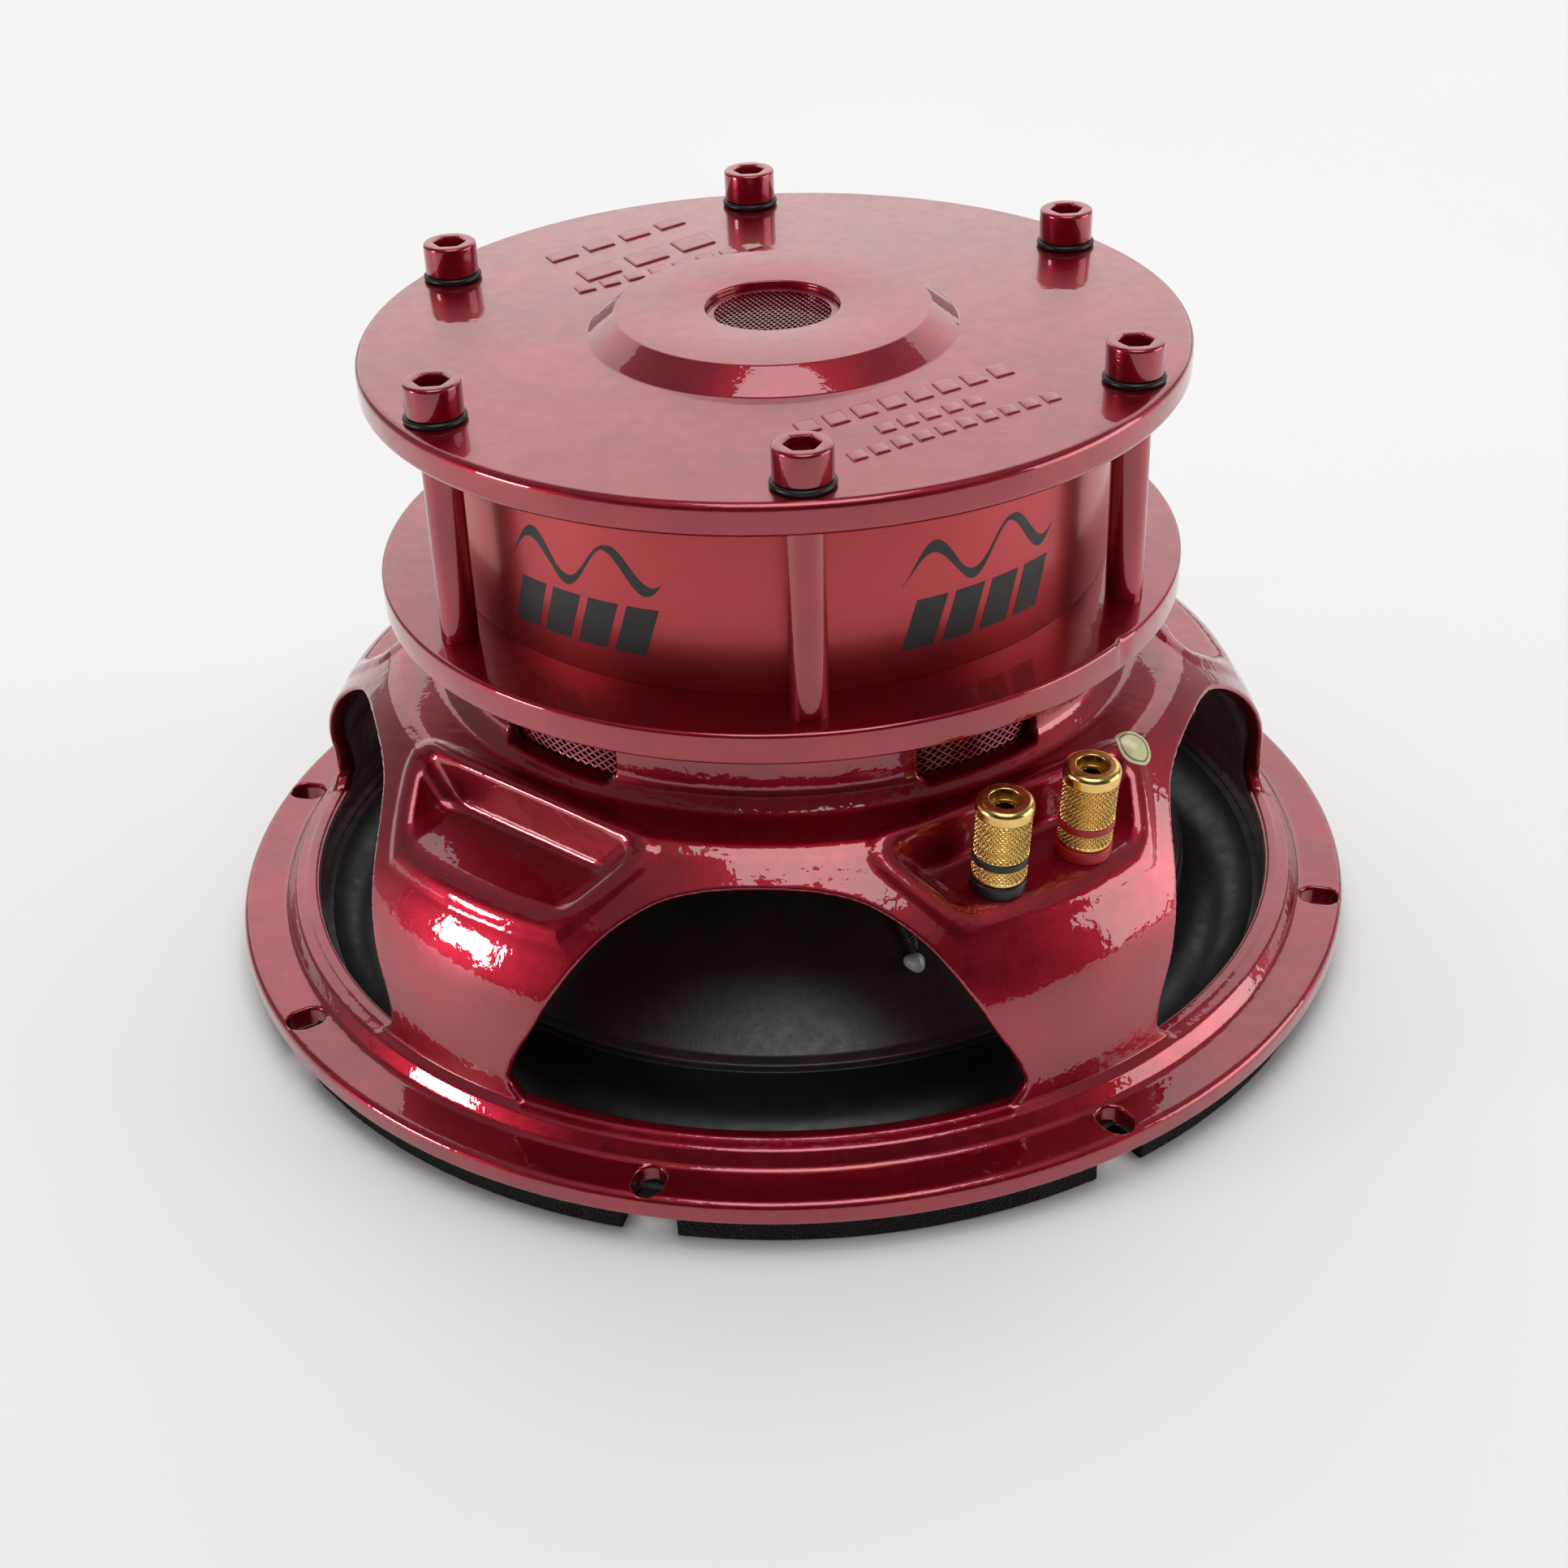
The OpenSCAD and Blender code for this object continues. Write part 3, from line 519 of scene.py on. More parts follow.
def make_basket(mat):
    coarse = 1.0
    per_half = int(108 / coarse)
    step = 0.66 * coarse
    rs = np.arange(GAP_R + 6.5, FLANGE_R + 1.2, step)
    zs = np.arange(Z_FACE - 0.9, Z_NECK + 1.2, step)
    half = np.linspace(0, pi / 5, per_half + 1)
    core = basket_core(rs[None, :, None], half[:, None, None], zs[None, None, :]).astype(np.float32)
    fifth = np.concatenate([core, core[-2:0:-1]], 0)
    field = np.concatenate([fifth] * 5, 0)
    phis = -pi / 2 + np.arange(len(field)) * (pi / 5 / per_half)
    k = np.searchsorted(rs, SEAT_R - 14)
    kz = np.searchsorted(zs, Z_LIP + 2)
    x = rs[None, k:, None] * np.cos(phis)[:, None, None]
    y = rs[None, k:, None] * np.sin(phis)[:, None, None]
    field[:, k:, :kz] = basket_extra(field[:, k:, :kz].astype(float), x, y, zs[None, None, :kz])
    pa, pb, pc, quads = surface(field, phis, rs, zs)
    p = np.stack([pb * np.cos(pa), pb * np.sin(pa), pc], -1)
    p, n = settle(basket_field, p, 1)
    ob = new_mesh("basket_cast", p, quads, None, 180)
    thin = ob.modifiers.new("thin", "DECIMATE")
    thin.ratio = min(1.0, 186000 / (2 * len(quads)))
    graph = bpy.context.evaluated_depsgraph_get()
    lean = bpy.data.meshes.new_from_object(ob.evaluated_get(graph))
    co = np.empty(len(lean.vertices) * 3)
    lean.vertices.foreach_get("co", co)
    p, n = settle(basket_field, co.reshape(-1, 3) / MM, 1)
    ob.modifiers.clear()
    old = ob.data
    lean.vertices.foreach_set("co", (p * MM).astype(np.float32).ravel())
    lean.polygons.foreach_set("use_smooth", np.ones(len(lean.polygons), bool))
    lean.update()
    lean.normals_split_custom_set_from_vertices([tuple(v) for v in n])
    ob.data = lean
    bpy.data.meshes.remove(old)
    lean.materials.clear()
    lean.materials.append(mat)
    return ob

# ---- materials ----


class Nodes:
    """A material being wired up."""

    def __init__(self, name):
        self.mat = bpy.data.materials.new(name)
        self.mat.use_nodes = True
        self.t = self.mat.node_tree
        self.bsdf = self.t.nodes["Principled BSDF"]
        self.out = self.t.nodes["Material Output"]
        self.pos = self.add("ShaderNodeTexCoord").outputs["Object"]

    def add(self, kind, **props):
        n = self.t.nodes.new(kind)
        for k, v in props.items():
            setattr(n, k, v)
        return n

    def put(self, socket, value):
        if isinstance(value, bpy.types.NodeSocket):
            self.t.links.new(value, socket)
        else:
            socket.default_value = value

    def set(self, **values):
        for k, v in values.items():
            self.put(self.bsdf.inputs[k.replace("_", " ")], v)
        return self

    def noise(self, scale, detail=3, rough=0.5, coord=None):
        n = self.add("ShaderNodeTexNoise")
        self.put(n.inputs["Vector"], coord or self.pos)
        n.inputs["Scale"].default_value = scale
        n.inputs["Detail"].default_value = detail
        n.inputs["Roughness"].default_value = rough
        return n.outputs["Fac"]

    def cells(self, scale):
        n = self.add("ShaderNodeTexVoronoi", feature="F1")
        self.put(n.inputs["Vector"], self.pos)
        n.inputs["Scale"].default_value = scale
        return n.outputs["Distance"]

    def ramp(self, fac, stops):
        n = self.add("ShaderNodeValToRGB")
        self.put(n.inputs["Fac"], fac)
        e = n.color_ramp.elements
        while len(e) < len(stops):
            e.new(0.5)
        for el, (p, c) in zip(e, stops):
            el.position = p
            el.color = tuple(c) + (1,) if len(c) == 3 else c
        return n.outputs["Color"]

    def mottle(self, scale, detail, rough, dark, light, lo=0.3, hi=0.7):
        """Two colours clouded into each other."""
        return self.ramp(self.noise(scale, detail, rough), [(lo, dark), (hi, light)])
    def span(self, fac, lo, hi, a=0.0, b=1.0):
        n = self.add("ShaderNodeMapRange", interpolation_type="SMOOTHSTEP")
        for i, v in zip(("Value", "From Min", "From Max", "To Min", "To Max"), (fac, lo, hi, a, b)):
            self.put(n.inputs[i], v)
        return n.outputs["Result"]

    def math(self, op, a, b=0.0):
        n = self.add("ShaderNodeMath", operation=op)
        self.put(n.inputs[0], a)
        self.put(n.inputs[1], b)
        return n.outputs[0]

    def mix(self, fac, a, b):
        n = self.add("ShaderNodeMix", data_type="RGBA")
        self.put(n.inputs[0], fac)
        self.put(n.inputs[6], a if isinstance(a, bpy.types.NodeSocket) else tuple(a) + (1,))
        self.put(n.inputs[7], b if isinstance(b, bpy.types.NodeSocket) else tuple(b) + (1,))
        return n.outputs[2]

    def bump(self, height, strength, distance, under=None, to="Normal"):
        n = self.add("ShaderNodeBump")
        n.inputs["Strength"].default_value = strength
        n.inputs["Distance"].default_value = distance
        self.put(n.inputs["Height"], height)
        if under is not None:
            self.put(n.inputs["Normal"], under)
        self.put(self.bsdf.inputs[to], n.outputs["Normal"])
        return n.outputs["Normal"]


def candy(name, ripple, peel):
    """Deep red lacquer over bright flake. ripple and peel are how uneven the clear coat lies."""
    m = Nodes(name)
    cloud = m.noise(38, 4, 0.6)
    tone = m.ramp(cloud, [(0.3, (0.25, 0.001, 0.011)), (0.52, (0.33, 0.002, 0.017)), (0.75, (0.42, 0.004, 0.026))])
    spark = m.span(m.cells(5200), 0.15, 0.6, 1.0, 0.0)
    tone = m.mix(m.math("MULTIPLY", spark, 0.25), tone, (0.62, 0.015, 0.06))
    dust = m.span(m.noise(900, 2, 0.8), 0.69, 0.75)
    where = m.span(m.noise(22, 3, 0.6), 0.52, 0.68)
    dust = m.math("MULTIPLY", dust, where)
    tone = m.mix(m.math("MULTIPLY", dust, 0.5), tone, (0.62, 0.40, 0.42))
    m.set(Base_Color=tone, Metallic=0.82, Coat_Weight=1.0, Coat_Roughness=0.02, Coat_IOR=1.72, IOR=1.5)
    rough = m.span(m.noise(260, 3, 0.6), 0.3, 0.7, 0.30, 0.40)
    m.set(Roughness=m.math("ADD", rough, m.math("MULTIPLY", dust, 0.3)))
    wave = m.bump(m.noise(95, 3, 0.55), ripple, 0.0006, to="Coat Normal")
    m.bump(m.noise(520, 2, 0.5), peel, 0.0002, under=wave, to="Coat Normal")
    m.bump(m.cells(5200), 0.25, 0.0001)
    return m.mat


def plain(name, color, rough, metal=0.0, grain=600, depth=0.0001, strength=0.3, vary=0.12, **more):
    """A surface of one colour with a fine grain, uneven gloss and slight clouding."""
    m = Nodes(name)
    c = np.array(color)
    tone = m.mottle(grain * 0.1, 4, 0.6, tuple(c * (1 - vary)), tuple(np.minimum(c * (1 + vary), 1)))
    gloss = m.span(m.noise(grain * 0.35, 3), 0.3, 0.7, rough * 0.85, min(rough * 1.15, 1))
    m.set(Base_Color=tone, Metallic=metal, Roughness=gloss, **more)
    m.bump(m.noise(grain, 4, 0.6), strength, depth)
    return m.mat


def around(m):
    """Angle, radius and height of the point being shaded."""
    s = m.add("ShaderNodeSeparateXYZ")
    m.put(s.inputs[0], m.pos)
    x, y = s.outputs["X"], s.outputs["Y"]
    square = m.math("ADD", m.math("MULTIPLY", x, x), m.math("MULTIPLY", y, y))
    return m.math("ARCTAN2", y, x), m.math("SQRT", square), s.outputs["Z"]


def cone_paper():
    m = Nodes("cone_paper")
    # Dark paper colour; part of its reddish-brown tint and brightness is a painted reflection of the red basket's
    # underside.
    tone = m.mottle(60, 5, 0.6, (0.029, 0.0165, 0.014), (0.045, 0.026, 0.022))
    gloss = m.span(m.noise(420, 4, 0.6), 0.3, 0.7, 0.33, 0.43)
    m.set(Base_Color=tone, Roughness=gloss, Specular_IOR_Level=0.7)
    m.bump(m.noise(1500, 5, 0.65), 0.35, 0.00015)
    return m.mat


def cloth(name, color, pitch):
    """Woven, resin-treated cloth in rings: threads along the radius and around. The weave's dips are darkened as
    painted shade and its raised threads lightened as painted highlight.
    """
    m = Nodes(name)
    ang, rad, _ = around(m)
    warp = m.math("SINE", m.math("MULTIPLY", rad, 2 * pi / pitch))
    weft = m.math("SINE", m.math("MULTIPLY", ang, round(2 * pi * 0.058 / pitch)))
    weave = m.math("MULTIPLY", warp, weft)
    c = np.array(color)
    # Painted shade and highlight: darker where the weave dips, lighter on the raised threads.
    tone = m.mix(m.span(weave, -1, 1), tuple(c * 0.6), tuple(c * 1.5))
    m.set(Base_Color=tone, Roughness=0.7, Sheen_Weight=0.15)
    m.bump(weave, 0.6, 0.00015)
    return m.mat


def ferrite():
    m = Nodes("ferrite_grey")
    m.set(Base_Color=m.mottle(300, 6, 0.7, (0.035, 0.035, 0.037), (0.06, 0.06, 0.062)), Metallic=0.2, Roughness=0.55)
    m.bump(m.noise(900, 5, 0.7), 0.5, 0.0002)
    return m.mat


def wound_wire():
    """Varnished copper wire, one turn beside the other, with painted shade in the grooves between turns and painted
    highlight on each turn's crest.
    """
    m = Nodes("copper_wire")
    turn = m.math("ABSOLUTE", m.math("SINE", m.math("MULTIPLY", around(m)[2], pi / 0.0005)))
    # Painted shade and highlight: darker copper in the grooves between turns, brighter copper on the crests.
    tone = m.mix(turn, (0.22, 0.05, 0.015), (0.75, 0.28, 0.10))
    m.set(Base_Color=tone, Metallic=0.9, Roughness=0.3, Coat_Weight=0.5)
    m.bump(turn, 0.8, 0.0002)
    return m.mat


def cover_skin():
    """Satin anodised sheet, brushed around the axis."""
    m = Nodes("cover_satin")
    ang, _, z = around(m)
    v = m.add("ShaderNodeCombineXYZ")
    m.put(v.inputs[0], m.math("MULTIPLY", ang, 0.9))
    m.put(v.inputs[1], m.math("MULTIPLY", z, 420))
    brush = m.noise(14, 6, 0.7, v.outputs[0])
    tone = m.ramp(brush, [(0.25, (0.42, 0.050, 0.058)), (0.75, (0.52, 0.072, 0.080))])
    m.set(Base_Color=tone, Metallic=0.95, Roughness=m.span(brush, 0.3, 0.7, 0.30, 0.40),
          Coat_Weight=0.25, Coat_Roughness=0.12)
    m.bump(brush, 0.08, 0.0001)
    return m.mat


def gold(name, rough):
    m = Nodes(name)
    tone = m.mottle(400, 4, 0.6, (0.82, 0.53, 0.16), (0.95, 0.66, 0.25))
    m.set(Base_Color=tone, Metallic=1.0, Roughness=m.span(m.noise(900, 3), 0.3, 0.7, rough * 0.8, rough * 1.25))
    m.bump(m.noise(1800, 2), 0.15, 0.00005)
    return m.mat


def foam():
    m = Nodes("gasket_foam")
    pores = m.cells(1500)
    # Painted shade: the pore centres, the pits of the pore bump, are darker.
    tone = m.mix(m.span(pores, 0.1, 0.55), (0.003, 0.003, 0.0032), (0.010, 0.010, 0.011))
    m.set(Base_Color=tone, Roughness=0.95, Specular_IOR_Level=0.18, Sheen_Weight=0.04, Sheen_Roughness=0.6)
    m.bump(pores, 0.9, 0.0006)
    return m.mat


def sticker_face(mid):
    """Cream foil with a thin dark green ring about its middle and no lettering."""
    m = Nodes("sticker_foil")
    v = m.add("ShaderNodeVectorMath", operation="DISTANCE")
    m.put(v.inputs[0], m.pos)
    v.inputs[1].default_value = mid
    d = v.outputs["Value"]
    ring = m.math("MULTIPLY", m.span(d, 0.00345, 0.00351), m.span(d, 0.00388, 0.00382))
    tone = m.mix(ring, m.mottle(500, 3, 0.5, (0.66, 0.60, 0.33), (0.74, 0.69, 0.42)), (0.10, 0.14, 0.06))
    m.set(Base_Color=tone, Roughness=0.32, Metallic=0.25, Coat_Weight=0.3)
    m.bump(m.noise(700, 2), 0.1, 0.0001)
    return m.mat


def braid():
    m = Nodes("tinsel_braid")
    tone = m.mottle(2500, 3, 0.5, (0.02, 0.016, 0.012), (0.16, 0.13, 0.09), lo=0.35)
    m.set(Base_Color=tone, Metallic=0.4, Roughness=0.5)
    m.bump(m.noise(3000, 2), 0.5, 0.0002)
    return m.mat


def clear_glue():
    m = Nodes("glue_clear")
    m.set(Base_Color=m.mottle(700, 3, 0.5, (0.62, 0.64, 0.66), (0.93, 0.94, 0.95)), Roughness=0.15,
          Transmission_Weight=0.15, IOR=1.45, Coat_Weight=0.6, Subsurface_Weight=0.2,
          Subsurface_Radius=(0.002, 0.002, 0.002))
    m.bump(m.noise(500, 2), 0.4, 0.0004)
    return m.mat


def floor_paint():
    m = Nodes("floor_pale")
    m.set(Base_Color=m.mottle(3, 3, 0.5, (0.835, 0.83, 0.82), (0.85, 0.845, 0.835)), Roughness=0.6)
    return m.mat
M = {
    "cast": candy("candy_cast", 0.5, 0.25),
    "plate": candy("candy_plate", 0.10, 0.10),
    "mesh": plain("screen_red", (0.26, 0.01, 0.03), 0.3, 0.6, 1500, 0.00005, 0.2, Coat_Weight=0.8),
    "rubber": plain("o_ring_rubber", (0.006, 0.006, 0.006), 0.4, 0, 900, 0.00005, 0.2),
    "surround": plain("surround_rubber", (0.011, 0.0115, 0.012), 0.42, 0, 700, 0.0001, 0.25),
    "cone": cone_paper(),
    "cap": plain("cap_black", (0.012, 0.012, 0.013), 0.35, 0, 1300, 0.0001, 0.35),
    "spider": cloth("spider_cloth", (0.012, 0.012, 0.012), 0.0009),
    "foam": foam(),
    "cover": cover_skin(),
    "ink": plain("cover_ink", (0.013, 0.011, 0.013), 0.42, 0, 900, 0.00003, 0.2),
    "ferrite": ferrite(),
    "copper": wound_wire(),
    "former": plain("former_foil", (0.55, 0.52, 0.42), 0.25, 0.9, 900, 0.00005, 0.2),
    "gold": gold("gold_plate", 0.16),
    "gold_knurl": gold("gold_knurl", 0.22),
    "tin": plain("tinned_brass", (0.62, 0.55, 0.40), 0.4, 0.9, 700),
    "black_steel": plain("black_steel", (0.03, 0.03, 0.03), 0.4, 0.8, 700),
    "black_plastic": plain("post_black", (0.010, 0.011, 0.012), 0.34, 0, 800, 0.00005, 0.3),
    "red_plastic": plain("post_red", (0.42, 0.012, 0.018), 0.34, 0, 800, 0.00005, 0.3),
    "braid": braid(),
    "glue": clear_glue(),
}

# ---- pieces ----


def fit(ob, body, slot_name, *nodes):
    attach(ob, body)
    if nodes:
        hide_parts(*nodes)
    return ob


def piece(name, part, mat, body, slot_name, *nodes, smooth=40, weld=False):
    """A new mesh from (points, faces) that rides on a body in place of the named nodes."""
    ob = new_mesh(name, part[0], part[1], mat, smooth)
    if weld:
        close_points(ob)
    return fit(ob, body, slot_name, *nodes)


def dress(node, mat):
    """Gives a CAD node its finished material."""
    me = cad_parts[node].data
    me.materials.clear()
    me.materials.append(mat)
    me.polygons.foreach_set("material_index", np.zeros(len(me.polygons), np.int32))


fit(make_basket(M["cast"]), "frame", "candy_red_cast", "basket")

# motor


def plate_ring(name, profile, radii, mat, slot_name, node, dents=()):
    p = rounded(profile, radii, 0.25)
    v, f = revolve(p, 480)
    for ang, z, size, depth in dents:
        a = math.radians(ang)
        c = np.array([PLATE_R * math.cos(a), PLATE_R * math.sin(a), z])
        d = np.linalg.norm(v - c, axis=1)
        w = np.clip(1 - d / size, 0, 1) ** 0.8
        v[:, :2] *= (1 - w * depth / PLATE_R)[:, None]
    return piece(name, (v, f), mat, "frame", slot_name, node, smooth=35)


plate_ring("front_plate_ring", [(GAP_R, Z_NECK), (PLATE_R, Z_NECK), (PLATE_R, Z_FRONT), (GAP_R, Z_FRONT)],
           [0, 0.9, 1.0, 0], M["plate"], "candy_red_steel", "front_plate",
           dents=[(-34.6, Z_FRONT, 2.2, 1.1), (-33.2, Z_FRONT, 1.3, 0.5)])
yoke = [
    (13, Z_NECK + 12), (19, Z_NECK), (31.4, Z_NECK), (31.4, Z_TOP), (GAP_R, Z_TOP), (GAP_R, Z_BACK), (PLATE_R, Z_BACK),
    (PLATE_R, Z_TOP), (40.2, Z_TOP), (34.05, Z_BUMP), (14.5, Z_BUMP), (14.5, Z_BUMP - 2.4), (13, Z_BUMP - 2.4)]
plate_ring("back_plate_yoke", yoke, [1, 0.8, 0.8, 0, 0, 0.3, 1.5, 1.7, 1.3, 1.0, 0.5, 0, 0], M["plate"],
           "candy_red_steel", "back_plate")
band = rounded([(COVER_R - 1, Z_FRONT), (COVER_R, Z_FRONT), (COVER_R, Z_BACK), (COVER_R - 1, Z_BACK)], 0.15, 0.1)
piece("magnet_cover_band", revolve(band, 480), M["cover"], "frame", "anodised_red", "magnet_cover")


def grid_patch(us, ws, place, thick):
    """A thin closed patch: place(u, w, height) gives points, us and ws are the grid's lines."""
    nu, nw = len(us), len(ws)
    uu, ww = np.meshgrid(us, ws, indexing="ij")
    top, low = place(uu.ravel(), ww.ravel(), thick), place(uu.ravel(), ww.ravel(), 0.0)
    n = nu * nw
    q = grid_faces(nu, nw)
    at = np.arange(n).reshape(nu, nw)
    rim = np.concatenate([at[:-1, 0], at[-1, :-1], at[:0:-1, -1], at[0, :0:-1]])
    ahead = np.roll(rim, -1)
    side = np.stack([ahead, rim, rim + n, ahead + n], -1)
    return np.vstack([top, low]), np.vstack([q, q[:, ::-1] + n, side])


def on_cover(u, w, h):
    """u along the cover in mm from a mark's middle, w the height."""
    return polar(COVER_R + 0.01 + h, u / COVER_R, w)


def mark_parts(turn):
    """A plain ornament: four slanted bars under a waving stroke."""
    parts = []
    s, t = np.linspace(0, 1, 12), np.linspace(0, 1, 4)
    for u0 in (-18.5, -9.5, -0.5, 8.5):

        def bar(a, b, h):
            return on_cover(u0 + 7.0 * a + 3.4 * b, 102.5 + 10.6 * b, h)

        parts.append(grid_patch(s, t, bar, 0.05))

    def wave(a, b, h):
        thick = 0.5 + 0.8 * np.abs(np.sin(a * pi * 3.0))
        return on_cover(-18 + 38 * a + 0.4 * b, 119.5 + 4.4 * np.sin(a * 4 * pi - 0.6) + 2.0 * a + thick * b, h)

    parts.append(grid_patch(np.linspace(0, 1, 70), np.linspace(-1, 1, 3), wave, 0.05))
    return [(turned(v, turn), f) for v, f in parts]


marks = [p for turn in (172, -120.5, -53, 14.5, 82) for p in mark_parts(turn)]
piece("magnet_cover_print", join_parts(marks), M["ink"], "frame", "anodised_red")


def relief(centre, heading, length, height, count):
    """A row of low slanted blocks cast into the back plate."""
    parts, pitch = [], length / count
    wide = pitch * 0.74
    for k in range(count):
        x0 = -length / 2 + pitch * (k + 0.5)

        def place(a, b, h):
            ea, eb = (np.clip((full / 2 - np.abs(q)) / 0.55, 0, 1) for full, q in ((wide, a), (height, b)))
            x, y = spun(x0 + a + 0.22 * b, b, math.radians(heading))
            low, top = Z_TOP - 0.05, Z_TOP - 0.03 + h * np.sin(np.minimum(ea, eb) * pi / 2)
            return np.stack([centre[0] + x, centre[1] + y, np.full_like(a, low) if h == 0 else top], -1)

        us = np.array([-0.5, -0.46, -0.42, -0.36, 0.36, 0.42, 0.46, 0.5]) * wide
        ws = np.array([-0.5, -0.45, -0.40, -0.32, 0.32, 0.40, 0.45, 0.5]) * height
        parts.append(grid_patch(us, ws, place, 0.42))
    return parts


rows = []
for centre, heading, length, height, count in (
        ((28.9, -40.6), 35.8, 54, 6.0, 8), ((33.8, -48.7), 35.8, 27, 4.6, 5), ((38.8, -54.4), 35.8, 52, 4.6, 10),
        ((-40, 55.4), 43, 42, 5.0, 4), ((-31.7, 43.4), 43, 41, 7.6, 3), ((-25.5, 36.5), 36.2, 51, 4.4, 8)):
    rows += relief(centre, heading, length, height, count)
piece("back_plate_relief", join_parts(rows), M["plate"], "frame", "candy_red_steel", smooth=50)


def cap_screw():
    """Long cap screw: shank, rounded head, hexagon socket. One closed loft."""
    n = 96
    ang = 2 * pi * np.arange(n) / n
    flat, shank, head, z_head, z_end = 3.15, 4, 6, Z_TOP + 1.4, Z_NECK + 1.5
    hexr = flat / np.cos((ang + pi / 6) % (pi / 3) - pi / 6)
    outline = rounded([(shank, z_end), (shank, z_head), (head, z_head), (head, Z_HEAD), (4.4, Z_HEAD)],
                      [0, 0, 0.5, 1.7, 0], 0.3, closed=False)
    rings = [(0.0, z_end), (3.2, z_end), *outline]
    rings += [(0.5 * (4.4 + hexr), Z_HEAD - 0.02), (hexr + 0.35, Z_HEAD - 0.05), (hexr + 0.1, Z_HEAD - 0.22),
              (hexr, Z_HEAD - 0.6), (hexr, Z_HEAD - 4.0), (hexr * 0.55, Z_HEAD - 4.3), (0.0, Z_HEAD - 4.6)]
    v = np.concatenate([polar(r, ang, z) for r, z in rings])
    return v, grid_faces(len(rings), n, wrap_cols=True)[:, FLIP]


def at_screws(part):
    """Six copies of a part, one at each screw."""
    v = np.asarray(part[0]) + np.array([SCREW_R, 0, 0])
    return join_parts([(turned(v, SCREW_TURN + 60 * i), part[1]) for i in range(6)])


piece("cap_screws_painted", at_screws(cap_screw()), M["plate"], "frame", "candy_red_steel", "cap_screws", weld=True)
turn = np.linspace(0, 2 * pi, 21)[:-1]
o_ring = np.stack([5.85 + 0.7 * np.cos(turn), Z_TOP + 0.7 + 0.7 * np.sin(turn)], -1)
piece("o_rings_soft", at_screws(revolve(o_ring, 72)), M["rubber"], "frame", "black_rubber", "o_rings", smooth=180)

# screens of expanded metal


def expanded(cells, half_w, half_h, strand_w, lift, place, thick):
    """A sheet of diamond holes. cells are their middles, place maps (u, w, height) to space."""
    index, pts, faces = {}, [], []

    def point(u, w, h):
        key = (round(u, 4), round(w, 4), round(h, 4))
        if key not in index:
            index[key] = len(pts)
            pts.append((u, w, h))
        return index[key]

    def band(a, b, turn=1):
        for i in range(4):
            j = (i + 1) % 4
            faces.append((a[i], a[j], b[j], b[i])[::turn])

    k = 1 - strand_w
    for cu, cw in cells:
        out = [(cu + half_w, cw), (cu, cw + half_h), (cu - half_w, cw), (cu, cw - half_h)]
        hole = [(cu + half_w * k, cw, lift * 0.2), (cu, cw + half_h * k, lift),
                (cu - half_w * k, cw, lift * 0.2), (cu, cw - half_h * k, -lift)]
        top, low = ([point(u, w, h + lift_h) for u, w, h in hole] for lift_h in (thick, 0))
        band([point(*p, thick) for p in out], top)
        band([point(*p, 0) for p in out], low, -1)
        band(top, low)
    return place(*np.array(pts).T), faces


def on_neck(u, w, h):
    return polar(NECK_IN_R - 0.75 + h, u / (NECK_IN_R - 0.5), w)


NECK_CELLS, NECK_ROWS = 204, 8
pu = 2 * pi * (NECK_IN_R - 0.5) / NECK_CELLS
pw = 1.75
z0 = Z_SHELF + 1.2
cells = []
for j in range(NECK_ROWS):
    for i in range(NECK_CELLS):
        cells.append((i * pu, z0 + pw * (j + 0.5)))
        if j < NECK_ROWS - 1:
            cells.append(((i + 0.5) * pu, z0 + pw * (j + 1)))
screen = expanded(cells, pu / 2, pw / 2, 0.24, 0.14, on_neck, 0.3)
piece("neck_screen_mesh", screen, M["mesh"], "frame", "red_mesh", "neck_screen", smooth=60, weld=True)
VENT_W, VENT_H, VENT_TILT = 2.1, 1.5, math.radians(-24)
cells = [((i + s) * VENT_W, (j + s) * VENT_H) for j in range(-24, 25) for i in range(-12, 13) for s in (0, 0.5)]
cells = [c for c in cells if math.hypot(*c) < 13.1]


def on_vent(u, w, h):
    return np.stack([*spun(u, w, VENT_TILT), Z_BUMP - 2.1 + h], -1)


rim = rounded([(12.6, Z_BUMP - 2.35), (14.35, Z_BUMP - 2.35), (14.35, Z_BUMP - 1.6), (12.6, Z_BUMP - 1.6)], 0.2, 0.1)
vent = join_parts([expanded(cells, VENT_W / 2, VENT_H / 2, 0.34, 0.12, on_vent, 0.4), revolve(rim, 120)])
piece("vent_screen_mesh", vent, M["mesh"], "frame", "red_mesh", "vent_screen", smooth=60)

# cone and suspension


def cone_back(r):
    """Height of the cone's back at a radius."""
    return Z_RIM + (CONE_R - 3 - r) * CONE_SLOPE


def sectors(name, profile, count, per, mat, node):
    """A ring as equal sectors, each spanning between the frame and the cone."""
    for k in range(count):
        a0 = 360.0 * k / count
        v, f = revolve(profile, per, a0, a0 + 360.0 / count)
        ob = new_mesh(f"{name}_{k + 1:02d}", v, f[:-2], mat, 60)
        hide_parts(node)
        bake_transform(ob)


